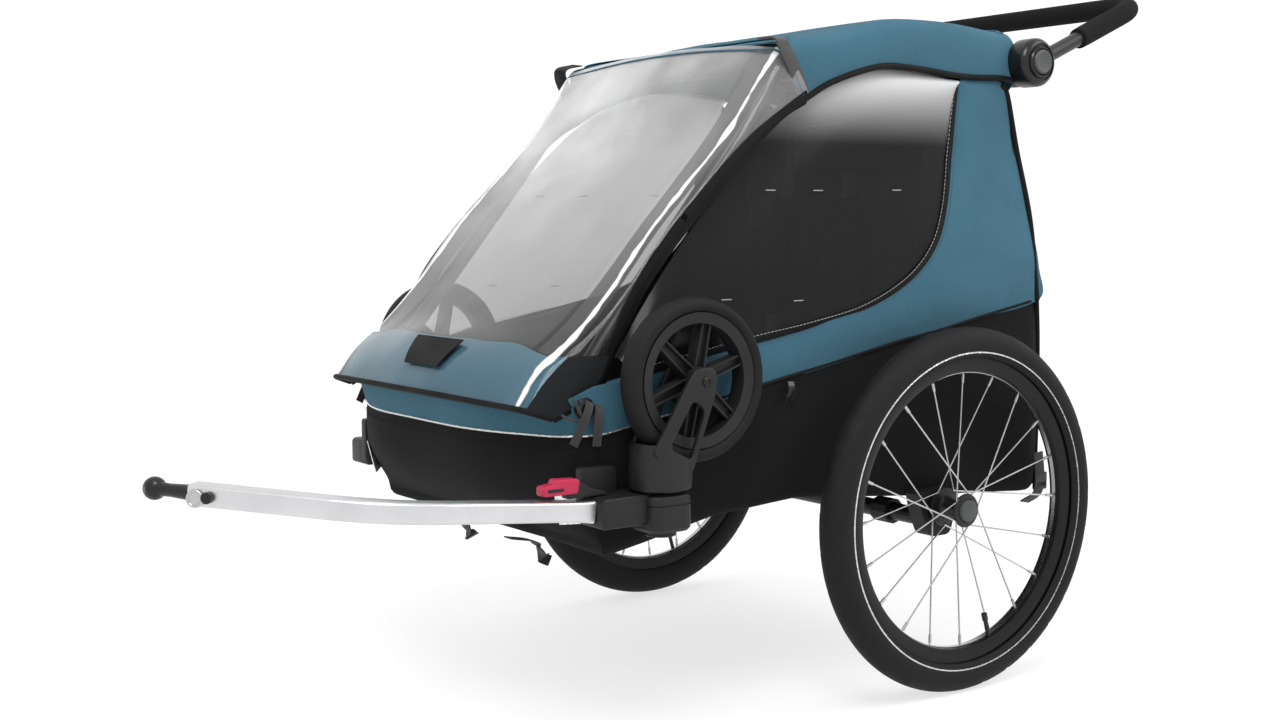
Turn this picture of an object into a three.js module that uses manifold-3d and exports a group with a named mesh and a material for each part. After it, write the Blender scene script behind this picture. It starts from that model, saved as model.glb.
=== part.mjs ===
// Child bicycle trailer: a two-seat fabric cabin on a folding frame, with two 20-inch spoked wheels,
// two caster wheels stored upside down beside the nose, a tow arm and a push handle.
//
// Millimetres, +Z up. The nose points to -Y and the trailer's left side, where the tow arm is, to +X.
// Everything is drawn with the wheel axle at Y = 0, and the whole model then moves back by AXLE_Y, so
// that the origin lies on the ground under the middle of the trailer's outline.

import * as THREE from 'three';
import * as BufferGeometryUtils from 'three/addons/utils/BufferGeometryUtils.js';
import Module from 'manifold-3d';

const wasm = await Module();
wasm.setup();

// ---------------------------------------------------------------- driving dimensions

const AXLE_Y = 260; // axle behind the middle of the outline
const GAP = 0.4; // between touching pieces

const WHEEL_RADIUS = 250;
const TYRE_HALF_WIDTH = 23.5;
const TRACK_HALF = 366; // wheel mid-plane from the centre plane
const RIM_INNER_RADIUS = 189;
const SPOKE_COUNT = 20;
const HUB_FLANGES = [-31, 8]; // along the axle, from the wheel's mid-plane
const FLANGE_RADII = [27, 23.5];

const CASTER = { x: 326, stemY: -478.5, wheelY: -428, wheelZ: 452, radius: 101.5, halfWidth: 18 };
const CASTER_RIM_RADIUS = 84;
const CASTER_SPOKES = 6;
const BRACKET = { bottom: 273.5, top: 321, radius: 39.3, collarBottom: 266, collarRadius: 24 };

const FOLD_PIVOT = { y: -559, z: 423 }; // where the bows hinge on the lower frame
const HUB = { y: 223, z: 870, innerX: 233, seamX: 264, outerX: 303 }; // where the push handle hinges
const UPRIGHT_PIVOT = { y: 212, z: 400 };
const SEAT_PIVOT = { y: 60, z: 345 };
const SEAT_LEAN = 8; // degrees back from upright

const BOW_X = 245; // centre plane of each bow tube
const BOW_RADIUS = 11;
const UPRIGHT_X = 215;
const UPRIGHT_RADIUS = 10;
const PIN_RADIUS = 4.8; // hinge pins of the bows and the upright

const CLOTH = 3; // thickness of a fabric panel
const SIDE_X = 284; // outer face of the side panels at SIDE_Z
const SIDE_Z = 480;
const SIDE_TILT = 0.06; // how much the sides draw in with height

const TOW_ARM = { width: 31, height: 24, slope: 0.102, rearY: -575, rearZ: 304 };
const TOW_PIN = { x: 168, y: -976, z: 345, across: [0.685, -0.728] };
const HITCH_BALL = { x: 104, y: -1021.5, z: 349, radius: 13.5 };
const AXLE_TUBE = { z: 229, radius: 12.5, end: 299.5 };

// ---------------------------------------------------------------- materials

function surface(color, roughness, metalness = 0) {
  return new THREE.MeshStandardMaterial({ color, roughness, metalness });
}

const MATERIAL = {
  blueFabric: surface(0x4b88a5, 0.85),
  blackFabric: surface(0x1b1b1d, 0.9),
  window: surface(0x26282a, 0.25),
  clearCover: surface(0xb9bcc0, 0.15),
  blackTube: surface(0x1c1c1e, 0.4, 0.3),
  silverTube: surface(0xc9cacc, 0.35, 0.8),
  blackPlastic: surface(0x2a2a2b, 0.55),
  greyPlastic: surface(0x6d716f, 0.5),
  redPlastic: surface(0xd42a4a, 0.6),
  foam: surface(0x232323, 0.95),
  tyre: surface(0x2e2e2f, 0.9),
  rim: surface(0x141415, 0.35, 0.5),
  steel: surface(0xbfc2c4, 0.3, 0.9),
};

// ---------------------------------------------------------------- booleans

function solidOf(geometry) {
  const bare = geometry.clone();
  bare.deleteAttribute('normal');
  bare.deleteAttribute('uv');
  const merged = BufferGeometryUtils.mergeVertices(bare, 1e-3);
  const vertProperties = new Float32Array(merged.attributes.position.array);
  const triVerts = new Uint32Array(merged.index.array);
  return new wasm.Manifold(new wasm.Mesh({ numProp: 3, vertProperties, triVerts }));
}

function geometryOf(solid) {
  const mesh = solid.getMesh();
  const geometry = new THREE.BufferGeometry();
  geometry.setAttribute('position', new THREE.BufferAttribute(mesh.vertProperties, 3));
  geometry.setIndex(new THREE.BufferAttribute(mesh.triVerts, 1));
  geometry.computeVertexNormals();
  return geometry;
}

function join(...pieces) {
  return geometryOf(pieces.map(solidOf).reduce((whole, piece) => whole.add(piece)));
}

function cut(piece, ...tools) {
  return geometryOf(tools.map(solidOf).reduce((rest, tool) => rest.subtract(tool), solidOf(piece)));
}

function common(...pieces) {
  return geometryOf(pieces.map(solidOf).reduce((whole, piece) => whole.intersect(piece)));
}

// ---------------------------------------------------------------- shape helpers

// The longest rounding that leaves room for the next corner's.
function fitted(rounding, corner, before, after) {
  const share = 0.48;
  return Math.min(rounding, share * corner.distanceTo(before), share * corner.distanceTo(after));
}

// A closed outline from corners [x, y] or [x, y, rounding].
function outline(corners, Kind = THREE.Shape) {
  const path = new Kind();
  const points = corners.map(([x, y]) => new THREE.Vector2(x, y));
  corners.forEach(([, , wanted = 0], i) => {
    const corner = points[i];
    const before = points[(i + points.length - 1) % points.length];
    const after = points[(i + 1) % points.length];
    const rounding = fitted(wanted, corner, before, after);
    const start = before.clone().sub(corner).setLength(rounding).add(corner);
    const end = after.clone().sub(corner).setLength(rounding).add(corner);
    if (i === 0) {
      path.moveTo(start.x, start.y);
    } else {
      path.lineTo(start.x, start.y);
    }
    if (rounding > 0) {
      path.quadraticCurveTo(corner.x, corner.y, end.x, end.y);
    }
  });
  path.closePath();
  return path;
}

function prism(shape, depth, curveSegments = 5) {
  return new THREE.ExtrudeGeometry(shape, { depth, curveSegments, bevelEnabled: false });
}

// A shape drawn in (Y, Z), extruded across the trailer from x0 to x1.
function acrossX(shape, x0, x1, curveSegments) {
  const turn = new THREE.Matrix4().makeBasis(
    new THREE.Vector3(0, 1, 0),
    new THREE.Vector3(0, 0, 1),
    new THREE.Vector3(1, 0, 0),
  );
  return prism(shape, x1 - x0, curveSegments).applyMatrix4(turn).translate(x0, 0, 0);
}

// A shape drawn in (X, Z), extruded along the trailer from y0 back to y1.
function alongY(shape, y0, y1, curveSegments) {
  return prism(shape, y1 - y0, curveSegments).rotateX(Math.PI / 2).translate(0, y1, 0);
}

// A shape drawn in plan, (X, Y), extruded up from z0 to z1.
function upZ(shape, z0, z1, curveSegments) {
  return prism(shape, z1 - z0, curveSegments).translate(0, 0, z0);
}

function block(x0, x1, y0, y1, z0, z1) {
  return new THREE.BoxGeometry(x1 - x0, y1 - y0, z1 - z0)
    .translate((x0 + x1) / 2, (y0 + y1) / 2, (z0 + z1) / 2);
}

// A straight round bar between two points.
function bar(from, to, radius, sides = 12) {
  const start = new THREE.Vector3(...from);
  const end = new THREE.Vector3(...to);
  const direction = end.clone().sub(start);
  const turn = new THREE.Quaternion().setFromUnitVectors(
    new THREE.Vector3(0, 1, 0),
    direction.clone().normalize(),
  );
  const middle = start.add(end).multiplyScalar(0.5);
  return new THREE.CylinderGeometry(radius, radius, direction.length(), sides)
    .applyQuaternion(turn)
    .translate(middle.x, middle.y, middle.z);
}

function polygon(radius, sides, Kind = THREE.Shape) {
  const points = [];
  for (let i = 0; i < sides; i += 1) {
    const angle = (2 * Math.PI * i) / sides;
    points.push(new THREE.Vector2(radius * Math.cos(angle), radius * Math.sin(angle)));
  }
  return new Kind(points);
}

// Straight stretches through the given points, with each inner point rounded off.
function roundedRoute(points, bend) {
  const corners = points.map((point) => new THREE.Vector3(...point));
  const route = new THREE.CurvePath();
  let last = corners[0];
  for (let i = 1; i < corners.length - 1; i += 1) {
    const rounding = fitted(bend, corners[i], corners[i - 1], corners[i + 1]);
    const start = corners[i - 1].clone().sub(corners[i]).setLength(rounding).add(corners[i]);
    const end = corners[i + 1].clone().sub(corners[i]).setLength(rounding).add(corners[i]);
    route.add(new THREE.LineCurve3(last, start));
    route.add(new THREE.QuadraticBezierCurve3(start, corners[i], end));
    last = end;
  }
  route.add(new THREE.LineCurve3(last, corners[corners.length - 1]));
  return route;
}

function bentTube(points, bend, section, steps) {
  return new THREE.ExtrudeGeometry(section, {
    steps,
    extrudePath: roundedRoute(points, bend),
    bevelEnabled: false,
  });
}

// A profile of [radius, height] points turned about +Y.
function turned(profile, segments) {
  return new THREE.LatheGeometry(profile.map(([r, y]) => new THREE.Vector2(r, y)), segments);
}

function sideName(side, name) {
  return `${side > 0 ? 'left' : 'right'}_${name}`;
}

// The same piece on the trailer's other side.
function mirrored(geometry) {
  const copy = geometry.index ? geometry.toNonIndexed() : geometry.clone();
  const position = copy.attributes.position;
  for (let i = 0; i < position.count; i += 3) {
    const corners = [0, 1, 2].map((k) => new THREE.Vector3().fromBufferAttribute(position, i + k));
    corners.reverse().forEach((corner, k) => {
      position.setXYZ(i + k, -corner.x, corner.y, corner.z);
    });
  }
  copy.computeVertexNormals();
  return copy;
}

const trailer = new THREE.Group();
trailer.position.y = AXLE_Y;

function place(name, geometry, material, parent = trailer) {
  const mesh = new THREE.Mesh(geometry, material);
  mesh.name = name;
  parent.add(mesh);
  return mesh;
}

// A piece drawn for the left side, placed on both sides.
function placePair(name, geometry, material) {
  place(sideName(1, name), geometry, material);
  place(sideName(-1, name), mirrored(geometry), material);
}

// ---------------------------------------------------------------- lower frame

const RAIL = { x: 262, width: 20, bottom: 281, top: 305, front: -520, rear: 214 };

// A plate welded on each rail, and the pin on it that the rear upright folds about.
function uprightStay() {
  const { y, z } = UPRIGHT_PIVOT;
  const plate = acrossX(
    outline([
      [180, RAIL.top - 2, 2],
      [213, RAIL.top - 2, 2],
      [y + 12, z + 12, 10],
      [y - 12, z + 12, 10],
    ]),
    253,
    258,
    4,
  );
  const pin = bar([UPRIGHT_X - 14, y, z], [254, y, z], PIN_RADIUS);
  return [plate, pin];
}

function addLowerFrame() {
  const railSection = outline([
    [RAIL.x - RAIL.width / 2, RAIL.bottom, 3],
    [RAIL.x + RAIL.width / 2, RAIL.bottom, 3],
    [RAIL.x + RAIL.width / 2, RAIL.top, 3],
    [RAIL.x - RAIL.width / 2, RAIL.top, 3],
  ]);
  const rail = alongY(railSection, RAIL.front, RAIL.rear, 2);
  placePair('side_rail', join(rail, ...uprightStay()), MATERIAL.blackTube);

  const inner = RAIL.x - RAIL.width / 2 - GAP;
  const height = (RAIL.bottom + RAIL.top) / 2;
  const crossRadius = 10;
  for (const [name, y] of [['front_cross_tube', -505], ['rear_cross_tube', 195]]) {
    place(name, bar([-inner, y, height], [inner, y, height], crossRadius), MATERIAL.blackTube);
  }

  const { z, radius, end } = AXLE_TUBE;
  place('axle_tube', bar([-end, 0, z], [end, 0, z], radius, 16), MATERIAL.blackTube);
}

// A cast block at each end of the axle tube, with a bore for the wheel's axle.
function addAxleReceivers() {
  const shape = outline([
    [-42, 272, 6],
    [-34, 240, 8],
    [-20, 208, 10],
    [20, 208, 10],
    [30, 240, 8],
    [38, 272, 6],
  ]);
  const bore = new THREE.Path().absarc(0, WHEEL_RADIUS, 6.5, 0, 2 * Math.PI);
  shape.holes.push(bore);
  placePair('axle_receiver', acrossX(shape, 300, 326, 6), MATERIAL.blackPlastic);
}

// A plate on each rail that carries the pin of the bow's hinge.
function addFoldBrackets() {
  const plate = acrossX(
    outline([
      [FOLD_PIVOT.y - 14, FOLD_PIVOT.z + 14, 12],
      [FOLD_PIVOT.y - 14, 340, 10],
      [-519, RAIL.top + GAP, 3],
      [-455, RAIL.top + GAP, 3],
      [-500, 360, 20],
      [FOLD_PIVOT.y + 15, FOLD_PIVOT.z + 14, 12],
    ]),
    259,
    264,
    4,
  );
  const pin = bar([230, FOLD_PIVOT.y, FOLD_PIVOT.z], [262, FOLD_PIVOT.y, FOLD_PIVOT.z], PIN_RADIUS);
  placePair('fold_bracket', join(plate, pin), MATERIAL.steel);
}

// ---------------------------------------------------------------- fabric lower body

const TUB_SIDE = [
  [242, 243, 12],
  [-224, 275],
  [-363, 268],
  [-476, 247],
  [-537, 236, 14],
  [-604, 292, 16],
  [-632, 384],
  [-560, 383],
  [-272, 436],
  [-49, 479],
  [222, 526],
  [243, 459, 30],
];
const TUB_WALL = 4;
const TUB_REAR_TOP = 360; // the rear wall is low, so that the folded roof passes over it

function tubPlan(inset) {
  return outline([
    [300 - inset, 242 - inset, 30],
    [300 - inset, 20],
    [286 - inset, -250, 60],
    [286 - inset, -575 + inset, 45],
    [150, -632 + inset, 95],
    [-150, -632 + inset, 95],
    [-286 + inset, -575 + inset, 45],
    [-286 + inset, -250, 60],
    [-300 + inset, 20],
    [-300 + inset, 242 - inset, 30],
  ]);
}

function addTub() {
  const outer = common(
    acrossX(outline(TUB_SIDE), -320, 320),
    upZ(tubPlan(0), 200, 600),
  );
  const hollowSide = outline([
    [238, 247 + 5, 10],
    [-224, 280],
    [-363, 273],
    [-476, 252],
    [-535, 242, 12],
    [-599, 294, 12],
    [-660, 520],
    [-660, 620],
    [300, 620],
    [300, TUB_REAR_TOP],
    [238, TUB_REAR_TOP],
  ]);
  const hollow = common(
    acrossX(hollowSide, -320, 320),
    join(upZ(tubPlan(TUB_WALL), 200, 700), block(-282, 282, 180, 320, TUB_REAR_TOP, 700)),
  );
  place('tub', cut(outer, hollow), MATERIAL.blackFabric);
}

function addFloorBoard() {
  const floor = outline([
    [180, 283],
    [-224, 283],
    [-363, 276.5],
    [-470, 256],
    [-490, 253],
    [-490, 259],
    [-470, 262],
    [-363, 282.5],
    [-224, 289],
    [180, 289],
  ]);
  place('floor_board', acrossX(floor, -250, 250), MATERIAL.blackPlastic);
}

// ---------------------------------------------------------------- fabric upper sides

const WINDOW = [
  [-196, 780, 8],
  [-262, 702, 60],
  [-376, 610, 60],
  [-440, 520, 20],
  [-420, 478, 16],
  [-263, 497, 60],
  [-30, 545, 130],
  [40, 640, 80],
  [70, 760, 60],
  [86, 832, 6],
  [-60, 838, 50],
];

function leaned(geometry) {
  const lean = new THREE.Matrix4().set(
    1, 0, -SIDE_TILT, SIDE_X + SIDE_TILT * SIDE_Z,
    0, 1, 0, 0,
    0, 0, 1, 0,
    0, 0, 0, 1,
  );
  return geometry.applyMatrix4(lean);
}

function addSides() {
  const panel = outline([
    [-538, 391],
    [-541, 431],
    [-459, 536, 40],
    [-382, 618, 60],
    [-268, 712, 60],
    [-203, 787, 10],
    [-66, 848, 30],
    [98, 842, 30],
    [168, 845],
    [190, 819],
    [205, 744],
    [215, 643, 40],
    [220, 531],
    [-49, 484],
    [-272, 441],
  ]);
  panel.holes.push(outline(WINDOW, THREE.Path));
  placePair('side_panel', leaned(acrossX(panel, -CLOTH, 0, 3)), MATERIAL.blueFabric);

  const centre = [-150, 660];
  const shrink = 0.994;
  const pane = WINDOW.map(([y, z, rounding]) => [
    centre[0] + (y - centre[0]) * shrink,
    centre[1] + (z - centre[1]) * shrink,
    rounding,
  ]);
  placePair('window', leaned(acrossX(outline(pane), -CLOTH, 0, 3)), MATERIAL.window);
}

function addRearPanel() {
  const side = outline([
    [241, TUB_REAR_TOP + 1],
    [241 - CLOTH, TUB_REAR_TOP + 1],
    [216, 643],
    [201, 818],
    [201 + CLOTH, 818],
    [216 + CLOTH, 643],
  ]);
  const face = outline([[-268, TUB_REAR_TOP - 10], [268, TUB_REAR_TOP - 10], [258, 830], [-258, 830]]);
  place('rear_panel', common(acrossX(side, -280, 280), alongY(face, 150, 280)), MATERIAL.blueFabric);
}

// ---------------------------------------------------------------- folding bows and roof

// The round end of a folding tube and the hole for its hinge pin.
function hingeEye(x, pivot, radius) {
  const eye = bar([x - 12, pivot.y, pivot.z], [x + 12, pivot.y, pivot.z], radius, 16);
  const hole = bar([x - 20, pivot.y, pivot.z], [x + 20, pivot.y, pivot.z], PIN_RADIUS + 0.5, 12);
  return [eye, hole];
}

function addBows() {
  const route = [
    [BOW_X, FOLD_PIVOT.y, FOLD_PIVOT.z],
    [BOW_X, -513, 490],
    [BOW_X, -421, 600],
    [BOW_X, -318, 724],
    [BOW_X, -212, 862],
    [BOW_X, -30, 898],
    [BOW_X, 140, 893],
    [BOW_X, HUB.y, HUB.z],
  ];
  const tube = bentTube(route, 32, polygon(BOW_RADIUS, 8), 28);
  const [eye, pinHole] = hingeEye(BOW_X, FOLD_PIVOT, 13);
  const housingSeat = block(BOW_X - 20, BOW_X + 20, HUB.y - 13.5, HUB.y + 40, HUB.z - 40, HUB.z + 40);
  placePair('bow_tube', cut(join(tube, eye), pinHole, housingSeat), MATERIAL.blackTube);

  const inner = BOW_X - BOW_RADIUS - GAP;
  const crossBars = [
    ['roof_front_bar', -216, 852],
    ['roof_rear_bar', 165, 885],
  ];
  for (const [name, y, z] of crossBars) {
    place(name, bar([-inner, y, z], [inner, y, z], 9), MATERIAL.blackTube);
  }
}

// The block that closes each bow's rear end and carries the push handle.
function addHubHousings() {
  const shape = outline([
    [HUB.y - 13, HUB.z - 24, 8],
    [HUB.y + 20, HUB.z - 34, 16],
    [HUB.y + 34, HUB.z, 20],
    [HUB.y + 20, HUB.z + 34, 16],
    [HUB.y - 13, HUB.z + 24, 8],
  ]);
  const body = acrossX(shape, HUB.innerX, HUB.seamX, 4);
  const spindle = bar([HUB.seamX - 4, HUB.y, HUB.z], [HUB.outerX - 17, HUB.y, HUB.z], 11, 16);
  placePair('hub_housing', join(body, spindle), MATERIAL.blackPlastic);
}

const ROOF_HALF = 263;
const ROOF_TOP = [
  [-226, 872, 10],
  [-183, 892, 30],
  [-38, 920, 60],
  [100, 922, 60],
  [206, 916, 8],
];

function addRoofCover() {
  const side = outline([
    ...ROOF_TOP,
    [207, 822],
    [188, 823],
    [172, 849],
    [98, 846, 20],
    [-66, 852, 30],
    [-209, 790],
  ]);
  const arch = (inset) => outline([
    [-ROOF_HALF + inset, 650],
    [-ROOF_HALF + inset, 924 - inset, 24 - inset],
    [ROOF_HALF - inset, 924 - inset, 24 - inset],
    [ROOF_HALF - inset, 650],
  ]);
  const outer = common(acrossX(side, -280, 280), alongY(arch(0), -300, 300));
  const drop = ROOF_TOP.slice(1).map(([y, z, rounding]) => [y - CLOTH * (y > 150), z - CLOTH, rounding]);
  const hollowSide = outline([[-300, 850], ...drop, [204, 700], [-300, 700]]);
  const hollow = common(acrossX(hollowSide, -290, 290), alongY(arch(CLOTH), -310, 310));
  const corners = [-1, 1].map((side) => {
    const [x0, x1] = side > 0 ? [229, 270] : [-270, -229];
    return block(x0, x1, 196, 215, 840, 908); // the bows leave through the rear corners
  });
  place('roof_cover', cut(outer, hollow, ...corners), MATERIAL.blueFabric);
}

function addFrontCover() {
  const line = [
    [-230, 884],
    [-334, 735],
    [-436, 612],
    [-530, 500],
    [-648, 434],
  ];
  const back = line.map(([y, z]) => [y + CLOTH * 0.8, z - CLOTH * 0.8]).reverse();
  back[0] = [-646, 430];
  const plan = outline([
    [272, -200],
    [272, -610, 30],
    [150, -650, 100],
    [-150, -650, 100],
    [-272, -610, 30],
    [-272, -200],
  ]);
  const sheet = acrossX(outline([...line, ...back]), -280, 280);
  place('front_cover', common(sheet, upZ(plan, 300, 1000)), MATERIAL.clearCover);
}

// ---------------------------------------------------------------- inside the cabin

function addRearUpright() {
  const top = [180, 809];
  const points = [
    [UPRIGHT_X, UPRIGHT_PIVOT.y, UPRIGHT_PIVOT.z],
    [UPRIGHT_X, ...top],
    [-UPRIGHT_X, ...top],
    [-UPRIGHT_X, UPRIGHT_PIVOT.y, UPRIGHT_PIVOT.z],
  ];
  const tube = bentTube(points, 50, polygon(UPRIGHT_RADIUS, 8), 20);
  const [leftEye, leftHole] = hingeEye(UPRIGHT_X, UPRIGHT_PIVOT, 12);
  const [rightEye, rightHole] = hingeEye(-UPRIGHT_X, UPRIGHT_PIVOT, 12);
  place('rear_upright', cut(join(tube, leftEye, rightEye), leftHole, rightHole), MATERIAL.blackTube);
}

function addSeat() {
  const cushion = outline([
    [-230, 293, 14],
    [54, 293, 10],
    [54, 341, 12],
    [-215, 343, 20],
    [-236, 325, 10],
  ]);
  place('seat_cushion', acrossX(cushion, -240, 240, 4), MATERIAL.blackFabric);

  const length = 395;
  const thickness = 28;
  const back = outline([
    [0, 4, 8],
    [thickness, 4, 8],
    [thickness, length, 12],
    [0, length, 12],
  ]);
  const seatBack = place('seat_back', acrossX(back, -205, 205, 4), MATERIAL.blackFabric);
  seatBack.position.set(0, SEAT_PIVOT.y, SEAT_PIVOT.z);
  seatBack.rotation.x = -THREE.MathUtils.degToRad(SEAT_LEAN);
}

// ---------------------------------------------------------------- push handle

const HANDLE_REACH = 295.8; // hub to the middle of the crossbar
const HANDLE_RISE = 20.8; // degrees above level
const HANDLE_TUBE = 11;
const HANDLE_ARM = { startX: 284, start: 36.5, cornerX: 254, bend: 54 }; // starts outside the knuckle
const GRIP_START = 175; // along each arm, from the hub

function addHandle() {
  const handle = new THREE.Group();
  handle.position.set(0, HUB.y, HUB.z);
  handle.rotation.x = THREE.MathUtils.degToRad(HANDLE_RISE);
  trailer.add(handle);

  const { startX, start, cornerX, bend } = HANDLE_ARM;
  const loop = (x, along) => [
    [x, along, 0],
    [cornerX, HANDLE_REACH, 0],
    [-cornerX, HANDLE_REACH, 0],
    [-x, along, 0],
  ];
  const tube = bentTube(loop(startX, start), bend, polygon(HANDLE_TUBE, 8), 30);
  place('handle_tube', tube, MATERIAL.blackTube, handle);

  const share = (GRIP_START - start) / (HANDLE_REACH - start);
  const gripX = startX + (cornerX - startX) * share;
  const section = polygon(15.5, 8);
  section.holes.push(polygon(HANDLE_TUBE + 2.1, 8, THREE.Path));
  const grip = bentTube(loop(gripX, GRIP_START), bend, section, 24);
  place('handle_grip', grip, MATERIAL.foam, handle);

  for (const side of [1, -1]) {
    const knuckle = new THREE.Group();
    knuckle.position.set(side * (HUB.seamX + 1), 0, 0);
    knuckle.rotation.z = side > 0 ? -Math.PI / 2 : Math.PI / 2;
    handle.add(knuckle);
    const disc = turned([
      [11.6, 0],
      [34, 0],
      [35, 4],
      [35, 30],
      [31, 38],
      [18.2, 38],
      [18.2, 24],
      [11.6, 24],
      [11.6, 0],
    ], 20);
    place(sideName(side, 'handle_knuckle'), disc, MATERIAL.blackPlastic, knuckle);
    const button = turned([[0, 31], [17.4, 31], [17.4, 39], [15, 41.5], [0, 42]], 20);
    place(sideName(side, 'handle_button'), button, MATERIAL.greyPlastic, knuckle);
  }
}

// ---------------------------------------------------------------- main wheels

// Drawn about +Y, which points out of the trailer.
function tyreProfile() {
  const profile = [];
  const centre = WHEEL_RADIUS - TYRE_HALF_WIDTH;
  const opening = THREE.MathUtils.degToRad(140);
  const arc = (radius, from, to, count) => {
    for (let i = 0; i <= count; i += 1) {
      const angle = from + ((to - from) * i) / count;
      profile.push([centre + radius * Math.cos(angle), radius * Math.sin(angle)]);
    }
  };
  arc(TYRE_HALF_WIDTH, -opening, opening, 8);
  arc(TYRE_HALF_WIDTH - 4, opening, -opening, 4);
  profile.push(profile[0]);
  return profile;
}

function rimProfile() {
  const half = [
    [RIM_INNER_RADIUS, 8],
    [203, 12.5],
    [208.5, 12.5],
    [199, 9],
  ];
  const lower = half.map(([r, y]) => [r, -y]);
  return [...lower, ...half.reverse(), lower[0]];
}

function wheelHub() {
  return turned([
    [8, -34],
    [FLANGE_RADII[0] - 1, -34],
    [FLANGE_RADII[0], HUB_FLANGES[0] + 2],
    [15, HUB_FLANGES[0] + 4],
    [13, HUB_FLANGES[1] - 6],
    [FLANGE_RADII[1] - 0.5, HUB_FLANGES[1] - 3],
    [FLANGE_RADII[1], HUB_FLANGES[1] + 2],
    [16.2, HUB_FLANGES[1] + 3],
    [16.2, 0.5],
    [8, 0.5],
    [8, -34],
  ], 16);
}

// Every spoke runs from just outside a flange of the hub to a thin ring of nipples inside the rim.
function wheelSpokes(segments) {
  const ringOuter = RIM_INNER_RADIUS - 0.5;
  const ringInner = ringOuter - 2;
  const ring = turned([
    [ringInner, -3],
    [ringOuter, -3],
    [ringOuter, 3],
    [ringInner, 3],
    [ringInner, -3],
  ], segments);
  const slant = 0.9; // radians that each spoke leads or trails its place on the rim
  const rimRadius = ringOuter - 1;
  const spokes = [];
  for (let i = 0; i < SPOKE_COUNT; i += 1) {
    const flange = i % 2;
    const rimAngle = (2 * Math.PI * i) / SPOKE_COUNT;
    const hubAngle = rimAngle + (i % 4 < 2 ? slant : -slant);
    const hubRadius = FLANGE_RADII[flange] + 2;
    spokes.push(bar(
      [hubRadius * Math.cos(hubAngle), HUB_FLANGES[flange], hubRadius * Math.sin(hubAngle)],
      [rimRadius * Math.cos(rimAngle), 0, rimRadius * Math.sin(rimAngle)],
      1.2,
      4,
    ));
  }
  return join(ring, ...spokes);
}

function addWheels() {
  const segments = 36;
  const tyre = turned(tyreProfile(), segments);
  const rim = turned(rimProfile(), segments);
  const hub = wheelHub();
  const spokes = wheelSpokes(segments);
  const axle = turned([[0, -64], [5.5, -64], [5.5, 0], [0, 0]], 12);
  const cap = turned([[0, 6], [15.5, 6], [15.5, 13], [13.5, 16], [0, 16]], 20);
  for (const side of [1, -1]) {
    const wheel = new THREE.Group();
    wheel.position.set(side * TRACK_HALF, 0, WHEEL_RADIUS);
    wheel.rotation.z = side > 0 ? -Math.PI / 2 : Math.PI / 2;
    trailer.add(wheel);
    place(sideName(side, 'tyre'), tyre, MATERIAL.tyre, wheel);
    place(sideName(side, 'rim'), rim, MATERIAL.rim, wheel);
    place(sideName(side, 'wheel_hub'), hub, MATERIAL.blackPlastic, wheel);
    place(sideName(side, 'spokes'), spokes, MATERIAL.steel, wheel);
    place(sideName(side, 'wheel_axle'), axle, MATERIAL.steel, wheel);
    place(sideName(side, 'wheel_release_cap'), cap, MATERIAL.greyPlastic, wheel);
  }
}

// ---------------------------------------------------------------- stored caster wheels

function addCasterBrackets() {
  const round = turned([
    [14.5, BRACKET.collarBottom],
    [BRACKET.collarRadius, BRACKET.collarBottom],
    [BRACKET.collarRadius, BRACKET.bottom],
    [BRACKET.radius - 2, BRACKET.bottom],
    [BRACKET.radius, BRACKET.bottom + 3],
    [BRACKET.radius, BRACKET.top - 6],
    [BRACKET.radius - 6, BRACKET.top],
    [14.5, BRACKET.top],
    [14.5, BRACKET.collarBottom],
  ], 24)
    .rotateX(Math.PI / 2)
    .translate(CASTER.x, CASTER.stemY, 0);
  const armSocket = block(288, 344, -572, -505, 285, BRACKET.top);
  const spigotHole = block(298.5, 321.5, -580, -532, 296.5, 311.5);
  const stemWell = bar([CASTER.x, CASTER.stemY, 260], [CASTER.x, CASTER.stemY, 340], 14.5, 24);
  const bracket = cut(join(round, armSocket), spigotHole, stemWell);
  placePair('caster_bracket', bracket, MATERIAL.blackPlastic);
}

// The fork, upside down: its crown sits on the bracket, and its legs rise back to the wheel's axle.
function casterFork() {
  const { x, stemY, wheelY, wheelZ } = CASTER;
  const crownTop = 346;
  const stem = turned([
    [0, BRACKET.collarBottom + 1],
    [14, BRACKET.collarBottom + 1],
    [14, BRACKET.top + GAP],
    [31, BRACKET.top + GAP],
    [34, 327],
    [34, crownTop],
    [0, crownTop],
  ], 20)
    .rotateX(Math.PI / 2)
    .translate(x, stemY, 0);
  const leg = outline([
    [stemY - 23, 329, 6],
    [stemY + 24, 329, 10],
    [stemY + 37, 372, 20],
    [wheelY + 18, wheelZ, 0],
    [wheelY + 14, wheelZ + 17, 12],
    [wheelY - 16, wheelZ + 14, 12],
    [stemY - 26, 378, 10],
  ]);
  leg.holes.push(outline([
    [stemY - 4, 371, 5],
    [stemY + 26, 361, 5],
    [wheelY - 3, wheelZ - 35, 5],
    [wheelY - 20, wheelZ - 24, 5],
  ], THREE.Path));
  leg.holes.push(new THREE.Path().absarc(wheelY, wheelZ, 5.2, 0, 2 * Math.PI));
  const legs = [-1, 1].map((side) => {
    const inner = x + side * (CASTER.halfWidth + 3);
    const outer = inner + side * 8;
    return acrossX(leg, Math.min(inner, outer), Math.max(inner, outer), 4);
  });
  return join(stem, ...legs);
}

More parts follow.
